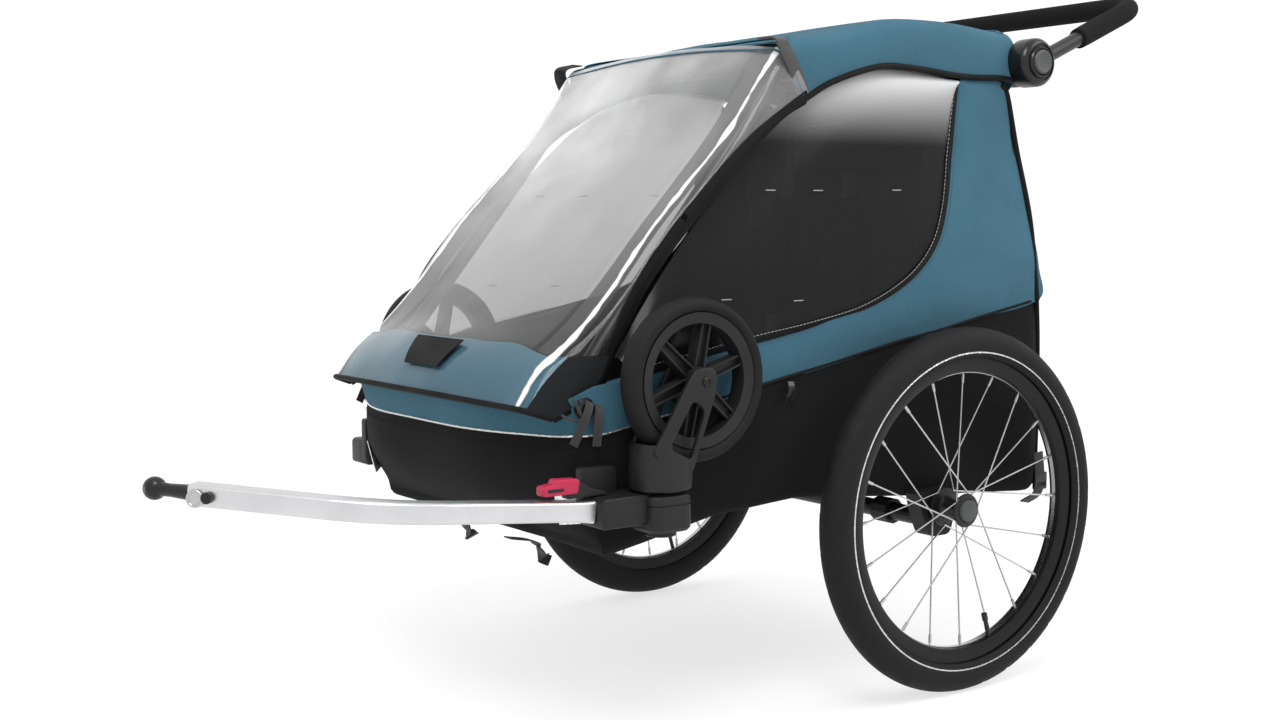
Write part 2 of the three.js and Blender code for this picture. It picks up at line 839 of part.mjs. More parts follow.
function casterWheel() {
  const wheel = polygon(CASTER_RIM_RADIUS - 0.6, 30);
  const spokeHalf = 6.5;
  const hubRadius = 24;
  const rimInner = 68;
  for (let i = 0; i < CASTER_SPOKES; i += 1) {
    const middle = ((i + 0.5) * 2 * Math.PI) / CASTER_SPOKES;
    const half = Math.PI / CASTER_SPOKES;
    const outerHalf = half - Math.asin(spokeHalf / rimInner);
    const innerHalf = half - Math.asin(spokeHalf / hubRadius);
    const hole = new THREE.Path();
    hole.absarc(0, 0, rimInner, middle - outerHalf, middle + outerHalf, false);
    hole.absarc(0, 0, hubRadius, middle + innerHalf, middle - innerHalf, true);
    hole.closePath();
    wheel.holes.push(hole);
  }
  wheel.holes.push(new THREE.Path().absarc(0, 0, 5.4, 0, 2 * Math.PI));
  return acrossX(wheel, -11, 11, 3);
}

function addCasters() {
  const { x, wheelY, wheelZ, radius, halfWidth } = CASTER;
  const fork = casterFork();
  const wheel = casterWheel();
  const tyre = turned([
    [CASTER_RIM_RADIUS, -13],
    [92, -halfWidth],
    [98, -13],
    [radius, -5],
    [radius, 5],
    [98, 13],
    [92, halfWidth],
    [CASTER_RIM_RADIUS, 13],
    [CASTER_RIM_RADIUS, -13],
  ], 30).rotateZ(-Math.PI / 2);
  const axle = bar([-31, 0, 0], [31, 0, 0], 4.2, 12);
  for (const side of [1, -1]) {
    const mirror = side > 0 ? fork : mirrored(fork);
    place(sideName(side, 'caster_fork'), mirror, MATERIAL.blackPlastic);
    const hub = new THREE.Group();
    hub.position.set(side * x, wheelY, wheelZ);
    trailer.add(hub);
    place(sideName(side, 'caster_wheel'), wheel, MATERIAL.blackPlastic, hub);
    place(sideName(side, 'caster_tyre'), tyre, MATERIAL.tyre, hub);
    place(sideName(side, 'caster_axle'), axle, MATERIAL.steel, hub);
  }
}

// ---------------------------------------------------------------- tow arm

function addTowArm() {
  const { width, height, slope, rearY, rearZ } = TOW_ARM;
  const half = width / 2;
  const arm = outline([
    [310 - half, rearY, 4],
    [316 - half, -826, 55],
    [150 - half * 0.72, -982, 6],
    [150 + half * 0.72, -1004, 6],
    [317 + half, -842, 75],
    [310 + half, rearY, 4],
  ]);
  const rise = new THREE.Matrix4().set(
    1, 0, 0, 0,
    0, 1, 0, 0,
    0, -slope, 1, rearZ + slope * rearY,
    0, 0, 0, 1,
  );
  const tube = upZ(arm, -height / 2, height / 2, 6).applyMatrix4(rise);
  const spigot = block(299, 321, rearY - 10, rearY + 42, 297, 311);
  const pinHole = bar(towPinPoint(-40), towPinPoint(40), 4.4, 10);
  place('tow_arm', cut(join(tube, spigot), pinHole), MATERIAL.silverTube);
}

// A point on the line of the pin that locks the hitch, counted outward from the arm's middle.
function towPinPoint(out) {
  const { x, y, z, across } = TOW_PIN;
  return [x + out * across[0], y + out * across[1], z];
}

function addTowPin() {
  const shaft = bar(towPinPoint(-18), towPinPoint(19), 3.6, 10);
  const head = bar(towPinPoint(17), towPinPoint(21), 6.5, 12);
  const ring = new THREE.TorusGeometry(9, 1.5, 6, 14)
    .rotateY(Math.PI / 2)
    .rotateZ(Math.atan2(TOW_PIN.across[1], TOW_PIN.across[0]))
    .translate(...towPinPoint(19.5))
    .translate(-6, -6, 0);
  place('hitch_pin', join(shaft, head, ring), MATERIAL.steel);
}

function addHitchBall() {
  const { x, y, z, radius } = HITCH_BALL;
  const neck = bar([148.2, -994, 346], [x, y, z], 8, 10);
  const tip = new THREE.SphereGeometry(radius, 16, 10).translate(x, y, z);
  const flat = block(x - 20, x + 20, y - 60, y - radius + 1, z - 40, z + 40);
  place('hitch_ball', cut(join(tip, neck), flat), MATERIAL.blackPlastic);
}

// The pull tab that frees the tow arm from its socket.
function addReleaseTab() {
  const tab = outline([
    [-640, 326, 6],
    [-577, 326],
    [-571, BRACKET.top + GAP],
    [-548, BRACKET.top + GAP],
    [-548, 327, 2],
    [-584, 332, 6],
    [-590, 345, 8],
    [-640, 348, 8],
  ]);
  place('hitch_release_tab', acrossX(tab, 300, 321, 3), MATERIAL.redPlastic);
}

// The foot lever of the parking brake turns on the axle tube.
function addBrakePedal() {
  const { z, radius } = AXLE_TUBE;
  const collar = new THREE.Shape().absarc(0, z, radius + 6, 0, 2 * Math.PI);
  collar.holes.push(new THREE.Path().absarc(0, z, radius + 0.6, 0, 2 * Math.PI));
  const lever = outline([
    [15, z - 8, 3],
    [70, z - 12, 20],
    [112, z - 10, 3],
    [112, z - 2, 3],
    [70, z - 3, 20],
    [15, z + 3, 3],
  ]);
  const tread = outline([
    [84, z - 12, 3],
    [114, z - 10, 3],
    [114, z, 3],
    [84, z - 2, 3],
  ]);
  const pedal = join(
    acrossX(collar, 205, 235, 6),
    acrossX(lever, 205, 235, 3),
    acrossX(tread, 190, 250, 3),
  );
  place('brake_pedal', pedal, MATERIAL.blackPlastic);
}

function build() {
  addLowerFrame();
  addAxleReceivers();
  addFoldBrackets();
  addTub();
  addFloorBoard();
  addSides();
  addRearPanel();
  addBows();
  addHubHousings();
  addRoofCover();
  addFrontCover();
  addRearUpright();
  addSeat();
  addHandle();
  addWheels();
  addCasterBrackets();
  addCasters();
  addTowArm();
  addTowPin();
  addHitchBall();
  addReleaseTab();
  addBrakePedal();
}

build();

export default trailer;
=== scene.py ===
"""Looks of a child bicycle trailer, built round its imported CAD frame.

Everything is drawn in metres with the wheel axle at y = 0, and mesh_of() moves it back by AXLE_Y into
the row frame. +Z is up, the nose points to -Y and the trailer's left side, with the tow arm, to +X.
"""

import math

import bmesh
import bpy
import numpy as np
from mathutils import Matrix, Vector, noise


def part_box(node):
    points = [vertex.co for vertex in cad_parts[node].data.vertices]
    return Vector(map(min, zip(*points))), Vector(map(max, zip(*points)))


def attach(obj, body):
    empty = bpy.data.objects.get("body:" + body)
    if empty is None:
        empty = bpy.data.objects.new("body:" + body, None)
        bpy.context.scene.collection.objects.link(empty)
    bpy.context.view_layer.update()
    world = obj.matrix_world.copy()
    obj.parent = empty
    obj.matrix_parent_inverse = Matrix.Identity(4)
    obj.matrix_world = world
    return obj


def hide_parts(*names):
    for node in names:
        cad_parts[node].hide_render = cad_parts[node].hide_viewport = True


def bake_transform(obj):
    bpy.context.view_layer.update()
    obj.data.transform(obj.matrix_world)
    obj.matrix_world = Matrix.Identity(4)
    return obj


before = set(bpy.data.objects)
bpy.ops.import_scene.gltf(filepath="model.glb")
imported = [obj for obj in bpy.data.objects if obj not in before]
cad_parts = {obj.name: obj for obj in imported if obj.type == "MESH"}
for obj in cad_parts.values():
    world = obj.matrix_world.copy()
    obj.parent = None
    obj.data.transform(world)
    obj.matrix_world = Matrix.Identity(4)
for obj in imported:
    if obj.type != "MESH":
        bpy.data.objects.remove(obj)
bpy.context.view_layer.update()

AXLE_Y = 0.260  # the wheel axle in the row frame

NOISE_SEED = 5  # fixes where the noise of crumpled() lies, which would differ from run to run
noise.seed_set(NOISE_SEED)

# ---------------------------------------------------------------- points and skins


def unit(v):
    v = np.asarray(v, float)
    return v / np.linalg.norm(v)


def resampled(line, count):
    """count points evenly spaced along a polyline."""
    line = np.asarray(line, float)
    steps = np.linalg.norm(np.diff(line, axis=0), axis=1)
    along = np.concatenate([[0], np.cumsum(steps)])
    wanted = np.linspace(0, along[-1], count)
    return np.stack([np.interp(wanted, along, line[:, k]) for k in range(line.shape[1])], axis=1)


def through(points, per_segment=10):
    """A smooth curve through the points, with the same number of steps between each two of them."""
    p = np.asarray(points, float)
    p = np.vstack([2 * p[0] - p[1], p, 2 * p[-1] - p[-2]])
    line = []
    for a, b, c, d in zip(p, p[1:], p[2:], p[3:]):
        slope, square, cube = c - a, 2 * a - 5 * b + 4 * c - d, 3 * b - a - 3 * c + d
        for t in np.linspace(0, 1, per_segment, endpoint=False):
            line.append(0.5 * (2 * b + slope * t + square * t**2 + cube * t**3))
    line.append(p[-2])
    return np.array(line)


def rounded(corners, closed=True, steps=6):
    """Points along straight stretches whose corners, (point..., radius), are rounded off."""
    points = [np.array(c[:-1], float) for c in corners]
    line = []
    last = len(corners) - 1
    for i, corner in enumerate(points):
        radius = corners[i][-1]
        if radius == 0 or (not closed and i in (0, last)):
            line.append(corner)
            continue
        before, after = points[i - 1] - corner, points[(i + 1) % len(points)] - corner
        radius = min(radius, 0.48 * np.linalg.norm(before), 0.48 * np.linalg.norm(after))
        start, end = corner + unit(before) * radius, corner + unit(after) * radius
        for t in np.linspace(0, 1, steps + 1):
            point = start * (1 - t) ** 2 + 2 * corner * t * (1 - t) + end * t**2
            if not line or np.linalg.norm(point - line[-1]) > 1e-5:
                line.append(point)
    return np.array(line)


def circle(radius, sides=24, stretch=1.0):
    turn = np.linspace(0, 2 * math.pi, sides, endpoint=False)
    return np.stack([radius * np.cos(turn), stretch * radius * np.sin(turn)], axis=1)


def rectangle(x0, y0, x1, y1, radius, steps=6):
    """A closed outline with four round corners."""
    return rounded([(x0, y0, radius), (x1, y0, radius), (x1, y1, radius), (x0, y1, radius)], steps=steps)


def band(width, thickness):
    """The section of a flat strap with round edges."""
    w, t = width / 2, thickness / 2
    return rectangle(-w, -t, w, t, min(width, thickness) * 0.45, steps=3)


def loft(rows, ring=False, closed=False):
    """A skin over rows of points. ring joins each row's ends, closed the last row to the first."""
    rows = np.asarray(rows, float)
    count, width = rows.shape[:2]
    faces = []
    for i in range(count if closed else count - 1):
        below, above = i * width, (i + 1) % count * width
        for j in range(width if ring else width - 1):
            k = (j + 1) % width
            faces.append((below + j, below + k, above + k, above + j))
    return rows.reshape(-1, 3), faces


def capped(rows):
    """A skin over closed rows of points, with a face over each end."""
    verts, faces = loft(rows, ring=True)
    width = len(rows[0])
    faces.append(tuple(range(width)))
    faces.append(tuple(reversed(range(len(verts) - width, len(verts)))))
    return verts, faces


def sweep(path, section, up=None, scale=None, closed=False):
    """A solid with that section along a path. The section's second axis stays near up, if given."""
    path = np.asarray(path, float)
    scale = np.ones(len(path)) if scale is None else scale
    if closed:
        tangents = np.roll(path, -1, axis=0) - np.roll(path, 1, axis=0)
    else:
        tangents = np.gradient(path, axis=0)
    tangents = tangents / np.linalg.norm(tangents, axis=1)[:, None]
    v = np.array(up, float) if up is not None else np.eye(3)[np.argmin(np.abs(tangents[0]))]
    rows = []
    for point, tangent, size in zip(path, tangents, scale):
        v = unit(v - tangent * v.dot(tangent))
        u = np.cross(v, tangent)
        rows.append([point + size * (a * u + b * v) for a, b in section])
        if up is not None:
            v = np.array(up, float)
    return loft(rows, ring=True, closed=True) if closed else capped(rows)


def lathe(profile, sides, centre=(0, 0, 0), axis=0):
    """A profile of (radius, height) points turned about X, Y or Z, numbered 0 to 2, through centre."""
    rows = []
    for turn in np.linspace(0, 2 * math.pi, sides, endpoint=False):
        row = [np.roll([h, r * math.cos(turn), r * math.sin(turn)], axis) for r, h in profile]
        rows.append(np.array(row) + centre)
    return loft(rows, closed=True)


def drum(radius, start, end):
    """The profile of a solid rod."""
    return [(0, start), (radius, start), (radius, end), (0, end)]


def sleeve(inner, outer, start, end):
    """The profile of a short tube."""
    return [(inner, start), (outer, start), (outer, end), (inner, end), (inner, start)]


def symmetric(half):
    """A closed profile from the (radius, height) points of its one half."""
    profile = [(r, -x) for r, x in half] + [(r, x) for r, x in reversed(half)]
    return [*profile, profile[0]]


def plate(outlines, x0, x1, bevel=0.001):
    """A plate between x0 and x1 with rounded edges, from closed (y, z) outlines: a solid and its holes."""
    curve = bpy.data.curves.new("plate", "CURVE")
    curve.dimensions = "2D"
    curve.fill_mode = "BOTH"
    curve.extrude = (x1 - x0) / 2 - bevel
    curve.bevel_depth = bevel
    curve.bevel_resolution = 2
    curve.offset = -bevel
    for outline in outlines:
        spline = curve.splines.new("POLY")
        spline.points.add(len(outline) - 1)
        for point, (y, z) in zip(spline.points, outline):
            point.co = (y, z, 0, 1)
        spline.use_cyclic_u = True
    obj = placed("plate", curve)
    mesh = bpy.data.meshes.new_from_object(obj.evaluated_get(bpy.context.evaluated_depsgraph_get()))
    verts = np.array([(v.co.z + (x0 + x1) / 2, v.co.x, v.co.y) for v in mesh.vertices])
    faces = [tuple(f.vertices) for f in mesh.polygons]
    bpy.data.objects.remove(obj)
    bpy.data.meshes.remove(mesh)
    return verts, faces


def merged(*shapes):
    verts, faces = [], []
    base = 0
    for v, f in shapes:
        verts.append(v)
        faces += [tuple(i + base for i in face) for face in f]
        base += len(v)
    return np.vstack(verts), faces


def flipped(shape):
    """The same shape on the trailer's other side."""
    verts, faces = shape
    return verts * np.array([-1, 1, 1]), [tuple(reversed(f)) for f in faces]


def moved(shape, offset):
    return shape[0] + np.array(offset), shape[1]


def turned(shape, degrees, centre, axis="X"):
    """The shape turned about an axis through centre."""
    turn = np.array(Matrix.Rotation(math.radians(degrees), 3, axis))
    centre = np.array(centre)
    return (shape[0] - centre) @ turn.T + centre, shape[1]


def crumpled(shape, amount, size, seed=0.0, weight=None):
    """The shape with its points pushed about by smooth noise, as slack cloth lies."""
    verts, faces = shape
    weight = np.ones(len(verts)) if weight is None else weight
    pushed = []
    for v, share in zip(verts, weight):
        push = noise.noise_vector(Vector(v / size) + Vector((seed, seed * 0.7, -seed)))
        pushed.append(v + amount * np.array(push) * share)
    return np.array(pushed), faces


def heights(line):
    """z as a function of y along a line of (y, z) points."""
    ordered = sorted(line)
    ys, zs = [p[0] for p in ordered], [p[1] for p in ordered]
    return lambda y: float(np.interp(y, ys, zs))


# ---------------------------------------------------------------- pieces


def row(point):
    """A point of this script's frame in the row frame."""
    return (point[0], point[1] + AXLE_Y, point[2])


def placed(name, data):
    """A new object in the scene."""
    obj = bpy.data.objects.new(name, data)
    bpy.context.scene.collection.objects.link(obj)
    return obj


def mesh_of(name, shape):
    """A new object with that shape, its double points joined and its faces turned outward."""
    verts, faces = shape
    mesh = bpy.data.meshes.new(name)
    mesh.from_pydata((verts + np.array([0, AXLE_Y, 0])).tolist(), [], faces)
    bm = bmesh.new()
    bm.from_mesh(mesh)
    bmesh.ops.remove_doubles(bm, verts=bm.verts, dist=1e-5)
    bmesh.ops.recalc_face_normals(bm, faces=bm.faces)
    bm.to_mesh(mesh)
    bm.free()
    return placed(name, mesh)


def baked(obj, *modifiers):
    """Adds modifiers, (type, settings), and applies them."""
    for kind, settings in modifiers:
        modifier = obj.modifiers.new(kind.lower(), kind)
        for key, value in settings.items():
            setattr(modifier, key, value)
    graph = bpy.context.evaluated_depsgraph_get()
    final = bpy.data.meshes.new_from_object(obj.evaluated_get(graph))
    obj.modifiers.clear()
    old = obj.data
    obj.data = final
    bpy.data.meshes.remove(old)
    final.name = obj.name


def finished(obj, look):
    """Gives a piece its material."""
    material, slot = LOOKS[look]
    obj.data.materials.clear()
    obj.data.materials.append(material)


def made(name, shape, look, body, cad=(), thick=0, sharp=40, out=0):
    """A piece of the object: its shape, its finish, what it rides on and the CAD nodes it stands for."""
    obj = mesh_of(name, shape)
    if thick:
        baked(obj, ("SOLIDIFY", {"thickness": thick, "offset": out, "use_even_offset": False}))
    obj.data.shade_smooth()
    obj.data.set_sharp_from_angle(angle=math.radians(sharp))
    finished(obj, look)
    if isinstance(body, str):
        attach(obj, body)
    else:
        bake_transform(obj)
    if cad:
        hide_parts(*cad)
    return obj


def both(name, shape, look, body, cad=(), **more):
    """A piece drawn on the left side, made on both sides. body and cad may hold {side}."""
    pair = []
    for side, form in (("left", shape), ("right", flipped(shape))):
        there = body.format(side=side) if isinstance(body, str) else body
        nodes = [node.format(side=side) for node in cad]
        pair.append(made(f"{side}_{name}", form, look, there, nodes, **more))
    return pair


# ---------------------------------------------------------------- materials


class Tree:
    """A material's node tree, built by short calls."""

    def __init__(self, name):
        self.material = bpy.data.materials.new(name)
        self.material.use_nodes = True
        self.nodes = self.material.node_tree.nodes
        self.links = self.material.node_tree.links
        self.nodes.clear()
        self.output = self.nodes.new("ShaderNodeOutputMaterial")
        self.place = self.node("ShaderNodeTexCoord").outputs["Object"]

    def node(self, kind, settings=None, **inputs):
        made_node = self.nodes.new(kind)
        for key, value in (settings or {}).items():
            setattr(made_node, key, value)
        for key, value in inputs.items():
            self.feed(made_node, key.replace("_", " "), value)
        return made_node

    def feed(self, node, key, value):
        socket = node.inputs[int(key)] if key.isdigit() else node.inputs[key]
        if isinstance(value, bpy.types.NodeSocket):
            self.links.new(value, socket)
        else:
            socket.default_value = value

    def noise(self, scale, detail=3.0, stretch=(1, 1, 1)):
        mapping = self.node("ShaderNodeMapping", Vector=self.place, Scale=stretch)
        texture = self.node("ShaderNodeTexNoise", Vector=mapping.outputs[0], Scale=scale, Detail=detail)
        return texture.outputs["Fac"]

    def ramp(self, value, low, high, start=0.0, end=1.0):
        """value taken from low..high to start..end."""
        node = self.node("ShaderNodeMapRange")
        limits = {"Value": value, "From Min": low, "From Max": high, "To Min": start, "To Max": end}
        for key, number in limits.items():
            self.feed(node, key, number)
        return node.outputs[0]

    def math(self, operation, a, b=0.0):
        node = self.node("ShaderNodeMath", {"operation": operation})
        self.feed(node, "0", a)
        self.feed(node, "1", b)
        return node.outputs[0]

    def mix(self, share, a, b):
        node = self.node("ShaderNodeMix", {"data_type": "RGBA"})
        self.feed(node, "0", share)
        self.feed(node, "6", a)
        self.feed(node, "7", b)
        return node.outputs[2]

    def weave(self, thread, twill=0.0):
        """Height of a plain weave with that distance between threads, or of a diagonal one."""
        split = self.node("ShaderNodeSeparateXYZ", Vector=self.place)
        x, y, z = split.outputs
        across = self.math("ADD", x, z)
        waves = []
        for a, b in ((across, y), (y, across)):
            leaned = self.math("ADD", a, self.math("MULTIPLY", b, twill))
            turn = self.math("MULTIPLY", leaned, 2 * math.pi / thread)
            waves.append(self.math("SINE", turn))
        return self.math("MULTIPLY", waves[0], waves[1])

    def bump(self, *layers):
        """A normal from (height, distance) layers, the coarse ones first."""
        normal = None
        for height, distance in layers:
            node = self.node("ShaderNodeBump", Height=height, Distance=distance)
            if normal is not None:
                self.feed(node, "Normal", normal)
            normal = node.outputs[0]
        return normal

    def shade(self, **inputs):
        return self.node("ShaderNodeBsdfPrincipled", **inputs)

    def finish(self, shader):
        self.links.new(shader.outputs[0], self.output.inputs["Surface"])
        return self.material


def rgb(color, share=1.0):
    return (color[0] * share, color[1] * share, color[2] * share, 1.0)


def cloth(name, color, thread=0.0011, roughness=0.8, sheen=0.05, folds=0.004):
    """Coated polyester: weave, faint blotches, slack folds and sheen."""
    t = Tree(name)
    weave = t.weave(thread)
    blotch = t.ramp(t.noise(9), 0.3, 0.7)
    dust = t.ramp(t.noise(240, 2), 0.35, 0.7, 0, 0.35)
    base = t.mix(dust, t.mix(blotch, rgb(color, 0.9), rgb(color, 1.08)), rgb(color, 1.22))
    normal = t.bump((t.noise(7, 2), folds), (t.noise(38, 2), folds * 0.12), (weave, 0.00018))
    return t.finish(
        t.shade(
            Base_Color=base,
            Roughness=t.ramp(weave, -1, 1, roughness - 0.08, roughness + 0.08),
            Specular_IOR_Level=0.1,
            Sheen_Weight=sheen,
            Sheen_Roughness=0.4,
            Normal=normal,
        )
    )


def webbing(name, color):
    """Woven strap: ribs along it."""
    t = Tree(name)
    ribs = t.weave(0.0022, twill=1.0)
    # The colour follows the rib height: grooves darker as painted shade, rib tops lighter as painted
    # highlight.
    base = t.mix(t.ramp(ribs, -1, 1), rgb(color, 0.7), rgb(color, 1.5))
    normal = t.bump((ribs, 0.0004))
    return t.finish(t.shade(Base_Color=base, Roughness=0.75, Sheen_Weight=0.2, Normal=normal))


def moulded(name, color, roughness=0.45, grain=0.00012, coat=0.0, shine=0.25):
    """Moulded nylon: fine grain, and patches a little more polished by handling."""
    t = Tree(name)
    handled = t.ramp(t.noise(14), 0.35, 0.65)
    speck = t.noise(900, 2)
    base = t.mix(handled, rgb(color, 0.88), rgb(color, 1.12))
    return t.finish(
        t.shade(
            Base_Color=base,
            Roughness=t.ramp(handled, 0, 1, roughness + 0.06, roughness - 0.06),
            Specular_IOR_Level=shine,
            Coat_Weight=coat,
            Coat_Roughness=0.15,
            Normal=t.bump((speck, grain)),
        )
    )


def metal(name, color, roughness, stretch=(1, 1, 1), line=0.00006, metallic=1.0, shine=0.5):
    """Drawn or anodised metal with faint lines along the way it was drawn."""
    t = Tree(name)
    lines = t.noise(1400, 2, stretch)
    cloud = t.ramp(t.noise(20), 0.3, 0.7)
    return t.finish(
        t.shade(
            Base_Color=t.mix(cloud, rgb(color, 0.94), rgb(color, 1.04)),
            Metallic=metallic,
            Specular_IOR_Level=shine,
            Roughness=t.ramp(lines, 0.3, 0.7, roughness - 0.06, roughness + 0.08),
            Normal=t.bump((lines, line)),
        )
    )


def rubber(name, color, roughness=0.62):
    """Tyre rubber: matt, with a bloom of dust that is stronger in patches."""
    t = Tree(name)
    bloom = t.ramp(t.noise(26, 5), 0.4, 0.75)
    return t.finish(
        t.shade(
            Base_Color=t.mix(bloom, rgb(color), rgb(color, 1.35)),
            Roughness=t.ramp(bloom, 0, 1, roughness, roughness + 0.15),
            Specular_IOR_Level=0.15,
            Normal=t.bump((t.noise(700, 3), 0.00015)),
        )
    )


def foam(name, color):
    """Closed-cell foam of the grip: small pores."""
    t = Tree(name)
    mapping = t.node("ShaderNodeMapping", Vector=t.place)
    pores = t.node("ShaderNodeTexVoronoi", Vector=mapping.outputs[0], Scale=700.0).outputs["Distance"]
    # Darker in the pores, following the bump height: painted shade in the pits.
    base = t.mix(t.ramp(pores, 0, 0.7), rgb(color, 0.6), rgb(color, 1.3))
    return t.finish(
        t.shade(Base_Color=base, Roughness=0.9, Specular_IOR_Level=0.1, Normal=t.bump((pores, 0.0004)))
    )


def film(name, color, cover, roughness=0.08, wrinkles=0.002, painted_reflection=None):
    """Flexible film that hides the share cover of what is behind it. Its last argument, when given, mixes
    in a flat pale white: a painted reflection, and on the cover's ridges a painted highlight.
    """
    t = Tree(name)
    normal = t.bump((t.noise(7, 2), wrinkles), (t.noise(26, 2), wrinkles * 0.1))
    shader = t.shade(
        Base_Color=rgb(color),
        Roughness=t.ramp(t.noise(30), 0.3, 0.7, roughness, roughness + 0.05),
        Specular_IOR_Level=0.1,
        Normal=normal,
    )
    gloss = t.node("ShaderNodeBsdfGlossy", Color=(1, 1, 1, 1), Roughness=roughness, Normal=normal)
    clear = t.node("ShaderNodeBsdfTransparent")
    facing = t.node("ShaderNodeLayerWeight", Blend=0.5, Normal=normal).outputs["Facing"]
    shine = t.node("ShaderNodeMixShader")
    t.feed(shine, "0", t.ramp(t.math("POWER", facing, 5.0), 0, 1, 0.018, 1))
    t.feed(shine, "1", clear.outputs[0])
    t.feed(shine, "2", gloss.outputs[0])
    whole = t.node("ShaderNodeMixShader", Fac=cover)
    t.feed(whole, "1", shine.outputs[0])
    t.feed(whole, "2", shader.outputs[0])
    if not painted_reflection:
        return t.finish(whole)
    # A flat pale white standing in for light: painted reflection, and painted highlight on the cover's
    # ridges.
    pale = t.shade(Base_Color=(0.85, 0.85, 0.86, 1), Roughness=0.4)
    reflection_mix = t.node("ShaderNodeMixShader")
    t.feed(reflection_mix, "0", painted_reflection(t))
    t.feed(reflection_mix, "1", whole.outputs[0])
    t.feed(reflection_mix, "2", pale.outputs[0])
    return t.finish(reflection_mix)


def painted_window_reflection(t):
    """The tinted windows get a painted reflection: a flat pale white mixed in toward their top edge."""
    low, high, most = 0.745, 0.845, 0.6
    height = t.node("ShaderNodeSeparateXYZ", Vector=t.place).outputs["Z"]
    return t.ramp(t.math("POWER", t.ramp(height, low, high), 1.4), 0, 1, 0, most)


def painted_cover_reflection(t):
    """A painted reflection toward the cover's upper right corner, and a painted highlight as a white strip
    along each of its two ridges.
    """
    ridge_x, highlight_half, highlight_sway = 0.2505, 0.0062, 0.0035
    place = t.node("ShaderNodeSeparateXYZ", Vector=t.place).outputs
    # Painted reflection: pale white toward the upper right corner, made patchy by noise.
    upper = t.math("MULTIPLY", t.ramp(place["Z"], 0.50, 0.86), t.ramp(place["X"], 0.24, -0.22, 0.22, 1))
    corner_reflection = t.math("MULTIPLY", upper, t.ramp(t.noise(9, 2), 0.3, 0.7, 0.45, 0.85))
    # Painted highlight: a white strip along each ridge, made wavy by noise.
    from_fold = t.math("ABSOLUTE", t.math("SUBTRACT", t.math("ABSOLUTE", place["X"]), ridge_x))
    wavy = t.math("ADD", from_fold, t.ramp(t.noise(22, 2), 0.3, 0.7, -highlight_sway, highlight_sway))
    return t.math("MAXIMUM", corner_reflection, t.ramp(wavy, highlight_half, 0.0028, 0, 0.95))


def netting(name, color, cell, cover):
    """Open mesh cloth: threads that hide a share of what is behind them."""
    t = Tree(name)
    weave = t.weave(cell)
    shader = t.shade(Base_Color=rgb(color), Roughness=0.85, Normal=t.bump((weave, cell * 0.1)))
    clear = t.node("ShaderNodeBsdfTransparent")
    whole = t.node("ShaderNodeMixShader")
    t.feed(whole, "0", t.ramp(weave, -1, 1, cover - 0.12, cover + 0.12))
    t.feed(whole, "1", clear.outputs[0])
    t.feed(whole, "2", shader.outputs[0])
    return t.finish(whole)


def reflector(name, color):
    """Reflective tape: small facets under a clear face."""
    t = Tree(name)
    cells = t.node("ShaderNodeTexVoronoi", Vector=t.place, Scale=260.0)
    # Darker in each facet's hollow, following the bump height: painted shade.
    base = t.mix(t.ramp(cells.outputs["Distance"], 0, 0.8), rgb(color, 0.55), rgb(color, 1.1))
    return t.finish(
        t.shade(
            Base_Color=base,
            Metallic=0.7,
            Roughness=0.25,
            Coat_Weight=1.0,
            Normal=t.bump((cells.outputs["Distance"], 0.0008)),
        )
    )


